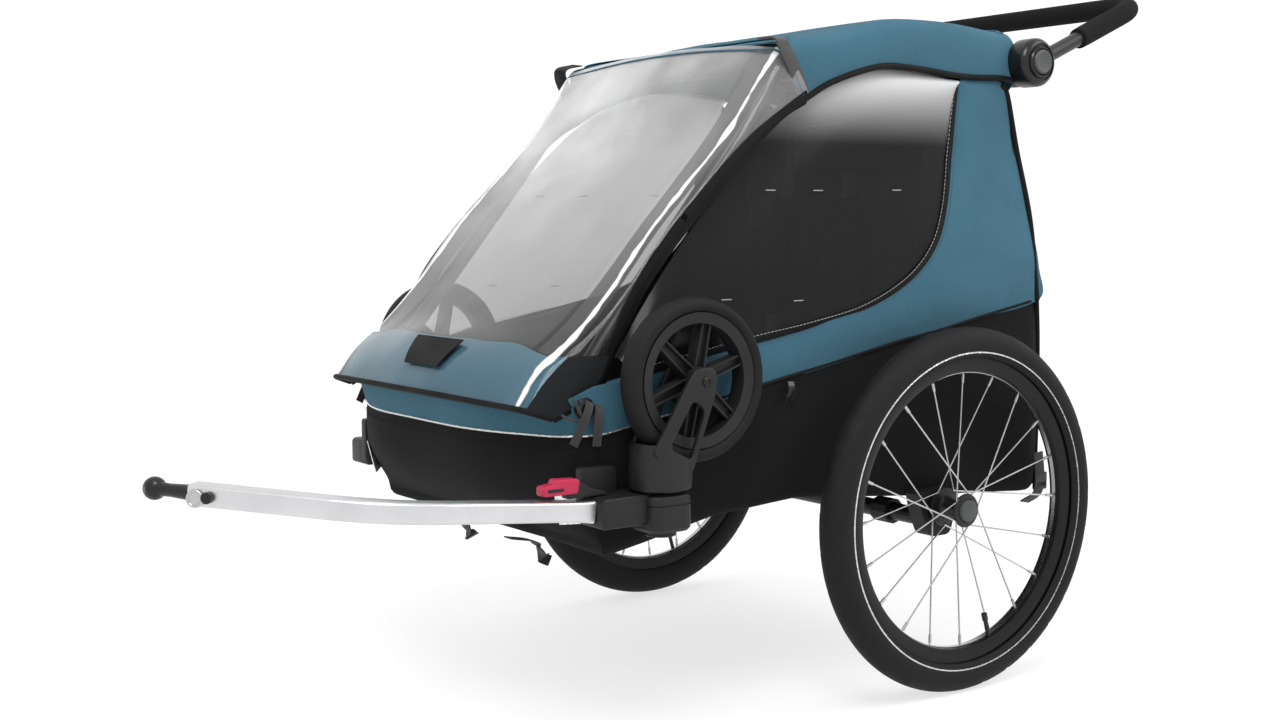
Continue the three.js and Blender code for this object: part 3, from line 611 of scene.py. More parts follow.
BLUE = (0.040, 0.114, 0.160)
BLACK = (0.007, 0.007, 0.0075)
TINT = (0.010, 0.010, 0.011)
LOOKS = {
    "blue": (cloth("blue_cloth", BLUE), "blue_fabric"),
    "black": (cloth("black_cloth", BLACK, thread=0.0014, roughness=0.85, sheen=0.01), "black_fabric"),
    "lining": (cloth("lining_cloth", (0.010, 0.011, 0.012), thread=0.002, sheen=0.01), "black_fabric"),
    "thread": (webbing("grey_thread", (0.30, 0.32, 0.33)), "grey_plastic"),
    "dark_thread": (webbing("dark_thread", (0.02, 0.04, 0.055)), "blue_fabric"),
    "strap": (webbing("black_webbing", (0.007, 0.007, 0.007)), "black_fabric"),
    "trim": (moulded("black_binding", (0.006, 0.006, 0.006), 0.6, 0.0002, shine=0.1), "black_fabric"),
    # Both films carry painted reflections, and the clear film also carries a painted highlight along its
    # ridges.
    "tinted": (film("tinted_film", TINT, 0.66, 0.2, 0.0008, painted_window_reflection), "tinted_window"),
    "clear": (film("clear_film", (0.6, 0.61, 0.62), 0.012, 0.05, 0.0015, painted_cover_reflection), "clear_cover"),
    "net": (netting("grey_netting", (0.14, 0.14, 0.14), 0.0028, 0.2), "clear_cover"),
    "dark_net": (netting("dark_netting", (0.014, 0.014, 0.014), 0.0024, 0.88), "black_fabric"),
    "piping": (reflector("silver_piping", (0.6, 0.61, 0.6)), "silver_tube"),
    "reflector": (reflector("reflective_patch", (0.8, 0.8, 0.8)), "silver_tube"),
    "plastic": (moulded("black_nylon", (0.011, 0.011, 0.0115), 0.45, 0.00022), "black_plastic"),
    "gloss": (moulded("black_gloss", (0.006, 0.006, 0.006), 0.3, 0.00005, 0.2), "black_plastic"),
    "tube": (metal("black_tube", (0.010, 0.010, 0.011), 0.34, (1, 1, 1), 0.00002, 0.2, 0.3), "black_tube"),
    "silver": (metal("satin_aluminium", (0.62, 0.62, 0.63), 0.33, (1, 0.02, 1)), "silver_tube"),
    "steel": (metal("bright_steel", (0.5, 0.5, 0.51), 0.24), "steel"),
    "rim": (metal("black_rim", (0.008, 0.008, 0.009), 0.3, (1, 1, 1), 0.00003, 0.2, 0.2), "black_rim"),
    "grey": (moulded("grey_button", (0.055, 0.06, 0.059), 0.4, 0.0001), "grey_plastic"),
    "foam": (foam("grip_foam", (0.009, 0.009, 0.009)), "foam_grip"),
    "tyre": (rubber("tyre_rubber", (0.0085, 0.0085, 0.009)), "wheel_tyre"),
    "red": (moulded("red_tab", (0.36, 0.018, 0.055), 0.45), "red_tab"),
}

# ---------------------------------------------------------------- main wheels

TRACK = 0.366  # wheel mid-plane from the centre plane
WHEEL_R = 0.250
WHEEL_CENTRE = (TRACK, 0, WHEEL_R)
TYRE_HALF = 0.0235
RIM_INNER = 0.189
SPOKES = 20
FLANGES = ((-0.031, 0.027), (0.008, 0.0235))  # (offset from the mid-plane, radius)
EYE_INSET = 0.004  # from a flange's edge to its spoke holes


def tyre():
    """A slick tread with short slanted grooves on both shoulders."""
    sides, grooves = 320, 30
    opening = math.radians(140)
    wall, groove_depth, groove_half = 0.004, 0.0011, 0.075
    shoulder_from, shoulder_to, slant = 22, 58, 0.0022
    profile = [(TYRE_HALF, a) for a in np.linspace(-opening, opening, 56)]
    profile += [(TYRE_HALF - wall, a) for a in np.linspace(opening, -opening, 20)]
    profile.append(profile[0])
    rows = []
    for turn in np.arange(sides) * (2 * math.pi) / sides:
        points = []
        for radius, a in profile:
            angle = abs(math.degrees(a))
            if radius == TYRE_HALF and shoulder_from < angle < shoulder_to:
                start = turn + angle * slant + (math.pi / grooves if a < 0 else 0)
                if abs(start * grooves / (2 * math.pi) % 1 - 0.5) < groove_half:
                    radius -= groove_depth
            r = WHEEL_R - TYRE_HALF + radius * math.cos(a)
            points.append((TRACK + radius * math.sin(a), r * math.cos(turn), WHEEL_R + r * math.sin(turn)))
        rows.append(points)
    return loft(rows, closed=True)


def side_ring(radius, width, offset):
    """A thin flat ring on the tyre's side wall."""
    half = width / 2
    section = [(radius - half, offset - 0.0006), (radius + half, offset - 0.0012)]
    profile = [*section, (radius + half, offset - 0.0002), (radius - half, offset + 0.0004), section[0]]
    return lathe(profile, 160, WHEEL_CENTRE)


def rim():
    """The rim's section, turned about the axle."""
    half = [
        (RIM_INNER, 0.004), (RIM_INNER + 0.0015, 0.009), (0.2, 0.0125),
        (0.2085, 0.0127), (0.2086, 0.0115), (0.2, 0.0095),
    ]
    return lathe(symmetric(half), 160, WHEEL_CENTRE)


def around(radius, turn, x=0.0):
    """The point at that turn of a circle round the X axis."""
    return np.array([x, radius * math.cos(turn), radius * math.sin(turn)])


def spokes():
    """Wire spokes with nipples at the rim, joined by the thin strip that they pull against."""
    strip, wire, nipple, lacing = RIM_INNER - 0.0012, 0.0011, 0.0021, 1.25
    shapes = [lathe(sleeve(strip, strip + 0.0008, -0.003, 0.003), 160)]
    for i in range(SPOKES):
        offset, radius = FLANGES[i % 2]
        rim_turn = 2 * math.pi * i / SPOKES
        hub = around(radius - EYE_INSET, rim_turn + (lacing if i % 4 < 2 else -lacing), offset)
        end = around(strip, rim_turn)
        along = unit(end - hub)
        shapes.append(sweep([hub, end], circle(wire, 8)))
        shapes.append(sweep([end - along * 0.014, end - along * 0.002], circle(nipple, 8)))
    return moved(merged(*shapes), WHEEL_CENTRE)


def hub_shell():
    """Hub with two flanges: a turned body and the raised eyes that the spokes hook into."""
    (inner_x, inner_r), (outer_x, outer_r) = FLANGES
    profile = [
        (0.008, -0.036), (0.018, -0.036), (0.02, -0.034),
        (inner_r - 0.001, inner_x - 0.002), (inner_r, inner_x), (inner_r - 0.001, inner_x + 0.002),
        (0.016, inner_x + 0.004), (0.0135, inner_x + 0.009), (0.0125, -0.01),
        (0.0135, outer_x - 0.008), (0.018, outer_x - 0.003),
        (outer_r - 0.001, outer_x - 0.002), (outer_r, outer_x), (outer_r - 0.001, outer_x + 0.002),
        (0.0175, outer_x + 0.0035), (0.0165, 0.0115), (0.0162, 0.001), (0.008, 0.001), (0.008, -0.036),
    ]
    eye = [(0, -0.0032), (0.0014, -0.0032), (0.0017, 0), (0.0014, 0.0032), (0, 0.0032)]
    shapes = [lathe(profile, 64)]
    for x, radius in FLANGES:
        for k in range(SPOKES // 2):
            turn = 2 * math.pi * (k + 0.5) / (SPOKES // 2)
            shapes.append(lathe(eye, 10, around(radius - EYE_INSET, turn, x)))
    return moved(merged(*shapes), WHEEL_CENTRE)


def valve():
    """The valve's stem and cap, turned to where the photo shows it."""
    root = np.array([0.004, 0, RIM_INNER + 0.003])
    stem = sweep([root, root + (0, 0, -0.034)], circle(0.0032, 12))
    cap = sweep([root + (0, 0, -0.026), root + (0, 0, -0.036)], circle(0.0042, 12))
    return moved(turned(merged(stem, cap), 196, (0, 0, 0)), WHEEL_CENTRE)


def build_wheels():
    wheel = "{side}_wheel"
    both("tyre_tread", tyre(), "tyre", wheel, ["{side}_tyre"], sharp=60)
    both("tyre_stripe", side_ring(0.217, 0.0026, TYRE_HALF - 0.0018), "piping", wheel)
    both("tyre_bead", side_ring(0.2095, 0.0012, TYRE_HALF - 0.0075), "tyre", wheel)
    both("rim_band", rim(), "rim", wheel, ["{side}_rim"], sharp=30)
    both("wire_spokes", spokes(), "steel", wheel, ["{side}_spokes"])
    both("hub_shell", hub_shell(), "gloss", wheel, ["{side}_wheel_hub"], sharp=30)
    both("valve", valve(), "gloss", wheel)
    profile = [
        (0, 0.006), (0.0152, 0.006), (0.0155, 0.0065), (0.0155, 0.0135),
        (0.0148, 0.015), (0.0125, 0.016), (0, 0.0155),
    ]
    cap = lathe(profile, 64, WHEEL_CENTRE)
    both("release_cap", cap, "grey", "{side}_release", ["{side}_wheel_release_cap"])


# ---------------------------------------------------------------- stored caster wheels

CASTER_X = 0.326
STEM_Y = -0.4785
CASTER_AXLE = (CASTER_X, -0.428, 0.452)
CASTER_R = 0.1015
CASTER_RIM = 0.084
BRACKET_BOTTOM, BRACKET_TOP = 0.2735, 0.321
BRACKET_HALF = 0.031


def caster_tyre():
    """A solid tyre with a flat tread."""
    half = [
        (CASTER_RIM, 0.0125), (0.0865, 0.0155), (0.091, 0.0178), (0.0955, 0.0165),
        (0.0975, 0.0152), (0.1, 0.0112), (CASTER_R, 0.005),
    ]
    return lathe(symmetric(half), 128, CASTER_AXLE)


def caster_wheel():
    """Rim, hub and six I-shaped spokes, each with a raised rib along both faces."""
    rim_inner, edge = 0.07, CASTER_RIM - 0.0005
    rim_profile = [
        (rim_inner, -0.012), (edge, -0.0145), (edge, 0.0145), (rim_inner, 0.012),
        (rim_inner - 0.0015, 0.0), (rim_inner, -0.012),
    ]
    hub_profile = symmetric([(0.0052, 0.0175), (0.013, 0.0175), (0.0165, 0.014), (0.017, 0.01)])
    root, tip, edge_radius, bevel = 0.012, 0.075, 0.001, 0.0008
    bars = [  # (end, low and high at the root, low and high at the end, half thickness)
        (0.074, -0.0075, 0.0075, -0.0055, 0.0055, 0.0035),
        (tip, -0.0085, -0.0055, -0.0068, -0.0042, 0.0095),
        (tip, 0.0055, 0.0085, 0.0042, 0.0068, 0.0095),
    ]
    plates = []
    for end, root_low, root_high, low, high, half in bars:
        corners = [(root, root_low), (end, low), (end, high), (root, root_high)]
        outline = rounded([(*corner, edge_radius) for corner in corners])
        plates.append(plate([outline], -half, half, bevel))
    spoke = merged(*plates)
    shapes = [lathe(rim_profile, 128), lathe(hub_profile, 64)]
    shapes += [turned(spoke, 60 * k + 18, (0, 0, 0)) for k in range(6)]
    return moved(merged(*shapes), CASTER_AXLE)


def fork_crown():
    """The crown tapers from the swivel up into both legs, and is hollowed out under the tyre."""
    levels = [  # (height, half widths along X and Y, shift back)
        (0.3225, 0.033, 0.036, 0.0),
        (0.3245, 0.035, 0.0385, 0.0),
        (0.335, 0.0355, 0.039, 0.0),
        (0.350, 0.034, 0.038, 0.0005),
        (0.366, 0.0315, 0.036, 0.001),
        (0.380, 0.0295, 0.0345, 0.002),
    ]
    rows = []
    for i, (z, rx, ry, back) in enumerate(levels):
        power = 1 - 0.075 * i  # rounder below, squarer between the legs
        ring = np.array([np.sign(p) * np.abs(p) ** power * (rx, ry) for p in circle(1.0, 56)])
        rows.append([(CASTER_X + x, STEM_Y + back + y, z) for x, y in ring])
    return capped(rows)


LEG_WINDOW = rounded([
    (STEM_Y - 0.0055, 0.374, 0.006),
    (STEM_Y + 0.0265, 0.358, 0.007),
    (CASTER_AXLE[1] - 0.0022, CASTER_AXLE[2] - 0.035, 0.008),
    (CASTER_AXLE[1] - 0.020, CASTER_AXLE[2] - 0.0215, 0.008),
])


def fork_leg():
    """One leg: a plate with a window, wide at the crown and round at the axle."""
    leg = rounded([
        (STEM_Y - 0.0305, 0.368, 0.010),
        (STEM_Y + 0.027, 0.338, 0.012),
        (CASTER_AXLE[1] + 0.0165, CASTER_AXLE[2] - 0.008, 0.03),
        (CASTER_AXLE[1] + 0.014, CASTER_AXLE[2] + 0.0175, 0.012),
        (CASTER_AXLE[1] - 0.015, CASTER_AXLE[2] + 0.0165, 0.012),
        (CASTER_AXLE[1] - 0.024, CASTER_AXLE[2] + 0.006, 0.01),
    ])
    return plate([leg, LEG_WINDOW], CASTER_X + 0.0212, CASTER_X + 0.0292, 0.0022)


def caster_stem():
    profile = [(0, 0.2672), (0.0135, 0.2672), (0.0138, 0.268), (0.0138, 0.3235), (0, 0.3235)]
    return lathe(profile, 40, (CASTER_X, STEM_Y, 0), axis=2)


def carve(obj, cutter):
    """Takes the cutter's shape out of a piece."""
    tool = mesh_of("cutter", cutter)
    bpy.context.view_layer.update()
    baked(obj, ("BOOLEAN", {"object": tool, "operation": "DIFFERENCE", "solver": "EXACT"}))
    obj.data.set_sharp_from_angle(angle=math.radians(35))
    bpy.data.objects.remove(tool)


def bracket():
    """The socket of the stored caster, with a shadow line round it and the stem's cap below."""
    half, bottom, top = BRACKET_HALF, BRACKET_BOTTOM, BRACKET_TOP
    collar = 0.0195
    levels = [  # (half width, height)
        (0.0185, 0.266), (collar, 0.2672), (collar, bottom), (half - 0.003, bottom), (half, bottom + 0.004),
        (half, top - 0.0155), (half - 0.0012, top - 0.015), (half - 0.0012, top - 0.0138),
        (half, top - 0.0133), (half, top - 0.007), (half - 0.0015, top - 0.0035),
        (half - 0.0055, top - 0.001), (half - 0.008, top),
    ]
    corner = rectangle(-1, -1, 1, 1, 0.62, steps=12)
    disc = circle(1.0, len(corner))
    corner = np.roll(corner, -int(np.argmin(np.hypot(*(corner - disc[0]).T))), axis=0)
    rows = []
    for size, z in levels:
        outline = disc if size <= collar else corner
        rows.append([(CASTER_X + size * x, STEM_Y + size * y, z) for x, y in outline])
    return capped(rows)


def bracket_arm():
    """The block beside it that takes the tow arm, with a taller cheek on the inner side."""
    rear, bottom = -0.49, 0.284
    block = rounded([
        (-0.572, bottom, 0.005), (rear, bottom, 0.0),
        (rear, BRACKET_TOP, 0.0), (-0.572, BRACKET_TOP, 0.008),
    ])
    cheek = rounded([
        (-0.575, 0.292, 0.004), (-0.524, 0.292, 0.004), (-0.524, 0.352, 0.006), (-0.575, 0.354, 0.005),
    ])
    return merged(plate([block], 0.288, 0.342, 0.003), plate([cheek], 0.286, 0.3005, 0.002))


def build_casters():
    roller = "{side}_caster_roller"
    both("caster_tyre_band", caster_tyre(), "tyre", roller, ["{side}_caster_tyre"], sharp=50)
    both("caster_spider", caster_wheel(), "plastic", roller, ["{side}_caster_wheel"], sharp=30)
    head = [
        (0, 0.0292), (0.0068, 0.0292), (0.0068, 0.0305), (0.0055, 0.0318),
        (0.0028, 0.0318), (0.0024, 0.0308), (0, 0.0308),
    ]
    bolt = merged(lathe(head, 32, CASTER_AXLE), lathe(drum(0.0042, -0.031, 0.0295), 24, CASTER_AXLE))
    both("caster_bolt", bolt, "tube", roller, ["{side}_caster_axle"], sharp=30)
    leg = fork_leg()
    legs = merged(leg, moved(flipped(leg), (2 * CASTER_X, 0, 0)))
    both("caster_fork_legs", legs, "plastic", "{side}_caster", ["{side}_caster_fork"], sharp=35)
    crowns = both("caster_fork_crown", fork_crown(), "plastic", "{side}_caster", sharp=35)
    both("caster_stem", caster_stem(), "plastic", "{side}_caster", sharp=35)
    tyre_room = lathe(drum(CASTER_R + 0.0045, -0.021, 0.021), 96)
    window = plate([LEG_WINDOW], -0.05, 0.05)
    for sign, crown in zip((1, -1), crowns):
        carve(crown, moved(tyre_room, CASTER_AXLE * np.array([sign, 1, 1])))
        carve(crown, moved(window, (sign * CASTER_X, 0, 0)))
    both("caster_socket", bracket(), "plastic", "chassis", ["{side}_caster_bracket"], sharp=30)
    both("caster_socket_arm", bracket_arm(), "plastic", "chassis", sharp=30)


# ---------------------------------------------------------------- tow arm

ARM_REAR = (-0.575, 0.304)
ARM_SLOPE = 0.102
PIN = np.array([0.168, -0.976, 0.345])
PIN_ACROSS = unit([0.685, -0.728, 0])
PIN_OUT = 0.0163  # from the arm's middle to its outer face


def tow_arm():
    """A bent bar with a flat-sided section, which flares a little where it leaves the bracket."""
    bend = [(0.310, -0.5735, 0), (0.3165, -0.834, 0.075), (0.150, -0.9935, 0)]
    plan = rounded(bend, closed=False, steps=24)
    straight = [resampled([a, b], 14) for a, b in ((plan[0], plan[1]), (plan[-2], plan[-1]))]
    plan = np.vstack([straight[0][:-1], plan[1:-1], straight[1][1:]])
    path = [(x, y, ARM_REAR[1] - ARM_SLOPE * (y - ARM_REAR[0])) for x, y in plan]
    flare = [1 + 0.14 * max(0, 1 - i / 1.4) for i in range(len(path))]
    half_width, half_height, corner = 0.0148, 0.0122, 0.0052
    section = rectangle(-half_width, -half_height, half_width, half_height, corner)
    return sweep(path, section, up=(0, 0, 1), scale=flare)


def hitch_ball():
    """The ball, flattened a little at its front, and the waisted neck behind it."""
    ball, radius = np.array([0.104, -1.0215, 0.349]), 0.0135
    neck_start = np.array([0.1505, -0.991, 0.3465])
    along = unit(neck_start - ball)
    stations = [ball + along * distance for distance in (0.006, 0.014, 0.022, 0.036)]
    neck = sweep([*stations, neck_start], circle(0.0085, 32), scale=[1.1, 0.93, 0.9, 1.0, 1.12])
    profile = [(radius * math.sin(a), -radius * math.cos(a)) for a in np.linspace(0, math.pi, 32)]
    verts, faces = lathe(profile, 48, ball, axis=1)
    verts[:, 1] = np.maximum(verts[:, 1], ball[1] - 0.0125)
    return merged((verts, faces), neck)


def ring_pin():
    """The hitch pin with its pull ring, which is filled by a thin disc."""
    out = PIN + PIN_ACROSS * PIN_OUT
    side, up = np.array([-PIN_ACROSS[1], PIN_ACROSS[0], 0]), np.array([0, 0, 1])
    eye = out + PIN_ACROSS * 0.0025 - side * 0.0145 - up * 0.001
    turns = np.linspace(0, 2 * math.pi, 48, endpoint=False)
    ring = [eye + 0.0088 * (math.cos(a) * side + math.sin(a) * up) for a in turns]
    return merged(
        sweep([PIN - PIN_ACROSS * 0.018, out + PIN_ACROSS * 0.004], circle(0.0036, 20)),
        sweep(ring, circle(0.0017, 10), closed=True),
        sweep([eye - PIN_ACROSS * 0.0014, eye + PIN_ACROSS * 0.0004], circle(0.0085, 40)),
    )


def build_tow_arm():
    made("tow_arm_tube", tow_arm(), "silver", "tow_arm", ["tow_arm"], sharp=35)
    spigot = plate([rectangle(-0.584, 0.298, -0.534, 0.3105, 0.002)], 0.2995, 0.3205)
    made("tow_arm_spigot", spigot, "steel", "tow_arm")
    made("hitch_knob", hitch_ball(), "gloss", "tow_arm", ["hitch_ball"], sharp=40)
    made("hitch_ring_pin", ring_pin(), "steel", "hitch_pin", ["hitch_pin"])
    out = PIN + PIN_ACROSS * PIN_OUT
    head = sweep([out, out + PIN_ACROSS * 0.0045], circle(0.0066, 28))
    made("hitch_pin_head", head, "gloss", "hitch_pin")


def build_release_tab():
    """A red pull tab hooked over a black slide that runs into the bracket."""
    tab = rounded([
        (-0.640, 0.3275, 0.004),
        (-0.592, 0.3275, 0.003),
        (-0.589, 0.345, 0.006),
        (-0.622, 0.3465, 0.003),
        (-0.624, 0.341, 0.002),
        (-0.640, 0.3395, 0.004),
    ])
    slide = rounded([
        (-0.606, BRACKET_TOP + 0.0008, 0.002),
        (-0.552, BRACKET_TOP + 0.0008, 0.001),
        (-0.552, 0.3265, 0.002),
        (-0.574, 0.3325, 0.01),
        (-0.586, 0.341, 0.006),
        (-0.606, 0.337, 0.004),
    ])
    pull = plate([tab], 0.3025, 0.3195, 0.0015)
    made("release_pull", pull, "red", "release_tab", ["hitch_release_tab"], sharp=35)
    made("release_slide", plate([slide], 0.3035, 0.3185, 0.0012), "plastic", "release_tab", sharp=35)
    slot = plate([rectangle(-0.634, 0.332, -0.612, 0.336, 0.002)], 0.3192, 0.3198)
    made("release_slot", slot, "gloss", "release_tab")


# ---------------------------------------------------------------- bows, hubs and push handle

HUB_Y, HUB_Z = 0.223, 0.870
HUB_IN, HUB_SEAM, HUB_OUT = 0.233, 0.264, 0.303
HANDLE_RISE = 20.8
HANDLE_REACH = 0.2958
GRIP_START, GRIP_X = 0.118, 0.27457
FOLD_Y, FOLD_Z = -0.559, 0.423
BOW_X = 0.245
PIN_HOLE = 0.0053
UPRIGHT_X, UPRIGHT_Y, UPRIGHT_Z = 0.215, 0.212, 0.400


def build_bows():
    """The bows with their hinge eyes, the bars that spread them, and the hoop at the back."""
    route = [
        (FOLD_Y, FOLD_Z, 0), (-0.513, 0.490, 0.032), (-0.421, 0.600, 0.032), (-0.318, 0.724, 0.032),
        (-0.212, 0.862, 0.032), (-0.030, 0.898, 0.032), (0.140, 0.893, 0.032), (0.2105, 0.872, 0),
    ]
    tube = sweep(rounded([(BOW_X, *corner) for corner in route], closed=False), circle(0.011, 24))
    eye = symmetric([(PIN_HOLE, 0.012), (0.0125, 0.012), (0.013, 0.011)])
    both("bow", merged(tube, lathe(eye, 32, (BOW_X, FOLD_Y, FOLD_Z))), "tube", "bow", ["{side}_bow_tube"])
    end = BOW_X - 0.0114
    for place, y, z in (("front", -0.216, 0.852), ("rear", 0.165, 0.885)):
        bar = sweep([(-end, y, z), (end, y, z)], circle(0.009, 24))
        made(f"{place}_spreader", bar, "tube", "bow", [f"roof_{place}_bar"])
    foot, shoulder = (UPRIGHT_Y, UPRIGHT_Z, 0), (0.180, 0.809, 0.05)
    corners = [(UPRIGHT_X, *foot), (UPRIGHT_X, *shoulder), (-UPRIGHT_X, *shoulder), (-UPRIGHT_X, *foot)]
    hoop = sweep(rounded(corners, closed=False, steps=16), circle(0.010, 24))
    end = lathe(sleeve(PIN_HOLE, 0.012, -0.012, 0.012), 32, (UPRIGHT_X, UPRIGHT_Y, UPRIGHT_Z))
    made("rear_hoop", merged(hoop, end, flipped(end)), "tube", "rear_upright", ["rear_upright"])


def build_hubs():
    """The hub housings, the round knuckles on them and their buttons."""
    corners = [
        (-0.0125, -0.024, 0.006), (0.012, -0.034, 0.012), (0.032, -0.026, 0.014),
        (0.034, 0.024, 0.014), (0.014, 0.034, 0.012), (-0.0125, 0.025, 0.006),
    ]
    block = plate([rounded([(HUB_Y + y, HUB_Z + z, r) for y, z, r in corners])], HUB_IN, HUB_SEAM, 0.004)
    spindle = lathe(drum(0.011, HUB_SEAM - 0.004, HUB_OUT - 0.017), 32, (0, HUB_Y, HUB_Z))
    both("hub_block", merged(block, spindle), "plastic", "bow", ["{side}_hub_housing"], sharp=30)
    knuckle = [
        (0.0116, 0.0), (0.033, 0.0), (0.0345, 0.0012), (0.035, 0.004), (0.035, 0.0255), (0.0345, 0.0285),
        (0.0325, 0.0315), (0.0295, 0.0345), (0.027, 0.0355), (0.0262, 0.0335), (0.0235, 0.0335),
        (0.0228, 0.0362), (0.0212, 0.038), (0.0195, 0.038), (0.0182, 0.0366), (0.0182, 0.024),
        (0.0116, 0.024), (0.0116, 0.0),
    ]
    centre = (HUB_SEAM + 0.001, HUB_Y, HUB_Z)
    both("knuckle", lathe(knuckle, 72, centre), "gloss", "handle", ["{side}_handle_knuckle"], sharp=28)
    button = [
        (0, 0.031), (0.0172, 0.031), (0.0174, 0.0315), (0.0174, 0.0388),
        (0.0164, 0.0402), (0.0145, 0.0408), (0.0125, 0.0402), (0.0, 0.0398),
    ]
    both("button", lathe(button, 56, centre), "grey", "{side}_button", ["{side}_handle_button"], sharp=28)


def handle_point(x, along):
    """A point in the handle's plane, that far along it from the hubs."""
    rise = math.radians(HANDLE_RISE)
    return (x, HUB_Y + along * math.cos(rise), HUB_Z + along * math.sin(rise))


def handle_loop(x, along):
    """The handle's line from one side to the other, starting that far along it from the hubs."""
    corner, bend = 0.254, 0.054
    return rounded([
        (*handle_point(x, along), 0), (*handle_point(corner, HANDLE_REACH), bend),
        (*handle_point(-corner, HANDLE_REACH), bend), (*handle_point(-x, along), 0),
    ], closed=False, steps=18)


def build_handle():
    """The bar, and the foam sleeve over it with rolled ends."""
    start, side_x = 0.0335, 0.284
    bar = sweep(handle_loop(side_x, start), circle(0.011, 32))
    made("handle_bar", bar, "tube", "handle", ["handle_tube"])
    path = handle_loop(GRIP_X, GRIP_START)
    path = np.vstack([resampled(path[:2], 8)[:-1], path[1:-1], resampled(path[-2:], 8)[1:]])
    ends = [path[0] + unit(path[0] - path[1]) * 0.0012, path[-1] + unit(path[-1] - path[-2]) * 0.0012]
    scale = [0.86, 0.97, *np.ones(len(path) - 2), 0.97, 0.86]
    grip = sweep(np.vstack([ends[0], path, ends[1]]), circle(0.0157, 36), scale=scale)
    made("foam_sleeve", grip, "foam", "handle", ["handle_grip"], sharp=50)


# ---------------------------------------------------------------- tub

BELT = [(0.242, 0.459), (0.226, 0.527), (-0.049, 0.479), (-0.272, 0.436), (-0.535, 0.387), (-0.66, 0.386)]
KEEL = [(0.245, 0.243), (-0.224, 0.277), (-0.363, 0.269), (-0.476, 0.247), (-0.537, 0.237), (-0.66, 0.237)]
belt_z = heights(BELT)
keel_z = heights(KEEL)
PLAN_CORNERS = [
    (0, 0.242, 0), (0.299, 0.242, 0.04), (0.300, 0.02, 0.05), (0.286, -0.40, 0.05),
    (0.285, -0.575, 0.045), (0.14, -0.632, 0.09), (0, -0.632, 0),
]
HALF_PLAN = resampled(rounded(PLAN_CORNERS, closed=False, steps=10), 97)
PLAN_MIDDLE = np.array([0, -0.2])
side_of_plan = [p for p in HALF_PLAN if -0.54 < p[1] < 0.2 and p[0] > 0.25]
plan_x = heights([(y, x) for x, y in side_of_plan])
REAR_SILL = 0.360


def smooth(share):
    """A share held within 0 and 1, with a soft start and end."""
    share = min(max(share, 0.0), 1.0)
    return share * share * (3 - 2 * share)


def rim_z(x, y):
    """Top edge of the tub: the belt line, and a low sill across the back."""
    if y < 0.2:
        return belt_z(y)
    corner = smooth((abs(x) - 0.262) / 0.023)
    return REAR_SILL + corner * (belt_z(y) - REAR_SILL)


def pushed_out(x, y, distance):
    """A point of the plan moved away from its middle."""
    return np.array([x, y]) + unit((x, y) - PLAN_MIDDLE) * distance


def tub():
    """The fabric body: walls from the rim down, a rounded keel and the floor."""
    plan = np.vstack([HALF_PLAN, HALF_PLAN[-2:0:-1] * (-1, 1)])
    round_off, slack, nose_y = 0.016, 0.004, -0.537
    rows = []
    for t in np.linspace(0, 1, 18):
        ring = []
        for x, y in plan:
            top, bottom = rim_z(x, y), keel_z(y) + round_off
            if y < nose_y:
                y += (nose_y - y) * t**2.5
            x, y = pushed_out(x, y, slack * math.sin(math.pi * t))
            ring.append((x, y, top + (bottom - top) * t))
        rows.append(ring)
    last = np.array(rows[-1])
    for turn in np.radians([25, 50, 70, 90]):
        ring = last.copy()
        for point in ring:
            point[:2] = pushed_out(*point[:2], round_off * (math.cos(turn) - 1))
            point[2] -= round_off * math.sin(turn)
        rows.append(ring)
    floor_ring = rows[-1]
    for share in (0.85, 0.6, 0.3, 0.03):
        ring = floor_ring.copy()
        ring[:, :2] = PLAN_MIDDLE + (ring[:, :2] - PLAN_MIDDLE) * share
        ring[:, 2] = [keel_z(y) for y in ring[:, 1]]
        rows.append(ring)
    verts, faces = loft(rows, ring=True)
    weight = [smooth((rim_z(*v[:2]) - v[2]) / 0.05) for v in verts]
    return crumpled((verts, faces), 0.0025, 0.13, 3.0, weight)


def line_on_belt(drop=0.0, out=0.0, y_from=0.22, y_to=-1.0):
    """Points along the tub's rim from y_from round the nose, on the left half."""
    points = []
    for x, y in HALF_PLAN:
        if y_to < y < y_from and x > 0.01:
            points.append((*pushed_out(x, y, out), belt_z(y) - drop))
    return points


def across(points):
    """A line on the left half carried on to the right half."""
    points = np.array(points)
    return np.vstack([points, points[::-1] * (-1, 1, 1)])


def build_tub():
    shell = made("tub_cloth", tub(), "black", "chassis", ["tub"], thick=0.003, out=-1, sharp=60)
    rim = across(line_on_belt(-0.001, 0.001))
    made("tub_piping", sweep(rim, circle(0.0022, 10)), "trim", "chassis")
    nose = across(line_on_belt(-0.0018, 0.0025, -0.40))
    made("nose_piping", sweep(nose, circle(0.0016, 10)), "piping", "chassis")
    hem = across(line_on_belt(0.012, 0.0024))
    made("tub_hem_stitches", stitches(hem), "lining", "chassis")
    rows = []
    for x, y, z in across(line_on_belt(0, 0.001, -0.47)):
        top = 0.425 + 0.027 * smooth((y + 0.60) / 0.07)
        rows.append([(*pushed_out(x, y, 0.010 * t), z + (top - z) * t) for t in np.linspace(0, 1, 7)])
    band_shape = crumpled(loft(rows), 0.002, 0.08, 8.0)
    nose_band = made("nose_band", band_shape, "blue", "chassis", thick=0.0015, sharp=60)


def stitches(line, step=0.006, share=0.6, radius=0.00045):
    """A row of short threads along a line."""
    line = np.array(line, float)
    length = np.linalg.norm(np.diff(line, axis=0), axis=1).sum()
    count = int(length / step)
    fine = resampled(line, count * 2 + 1)
    shapes = []
    for a, b in zip(fine[:-1:2], fine[1::2]):
        shapes.append(sweep([a, a + (b - a) * share * 2], circle(radius, 5)))
    return merged(*shapes)


# ---------------------------------------------------------------- sides and windows

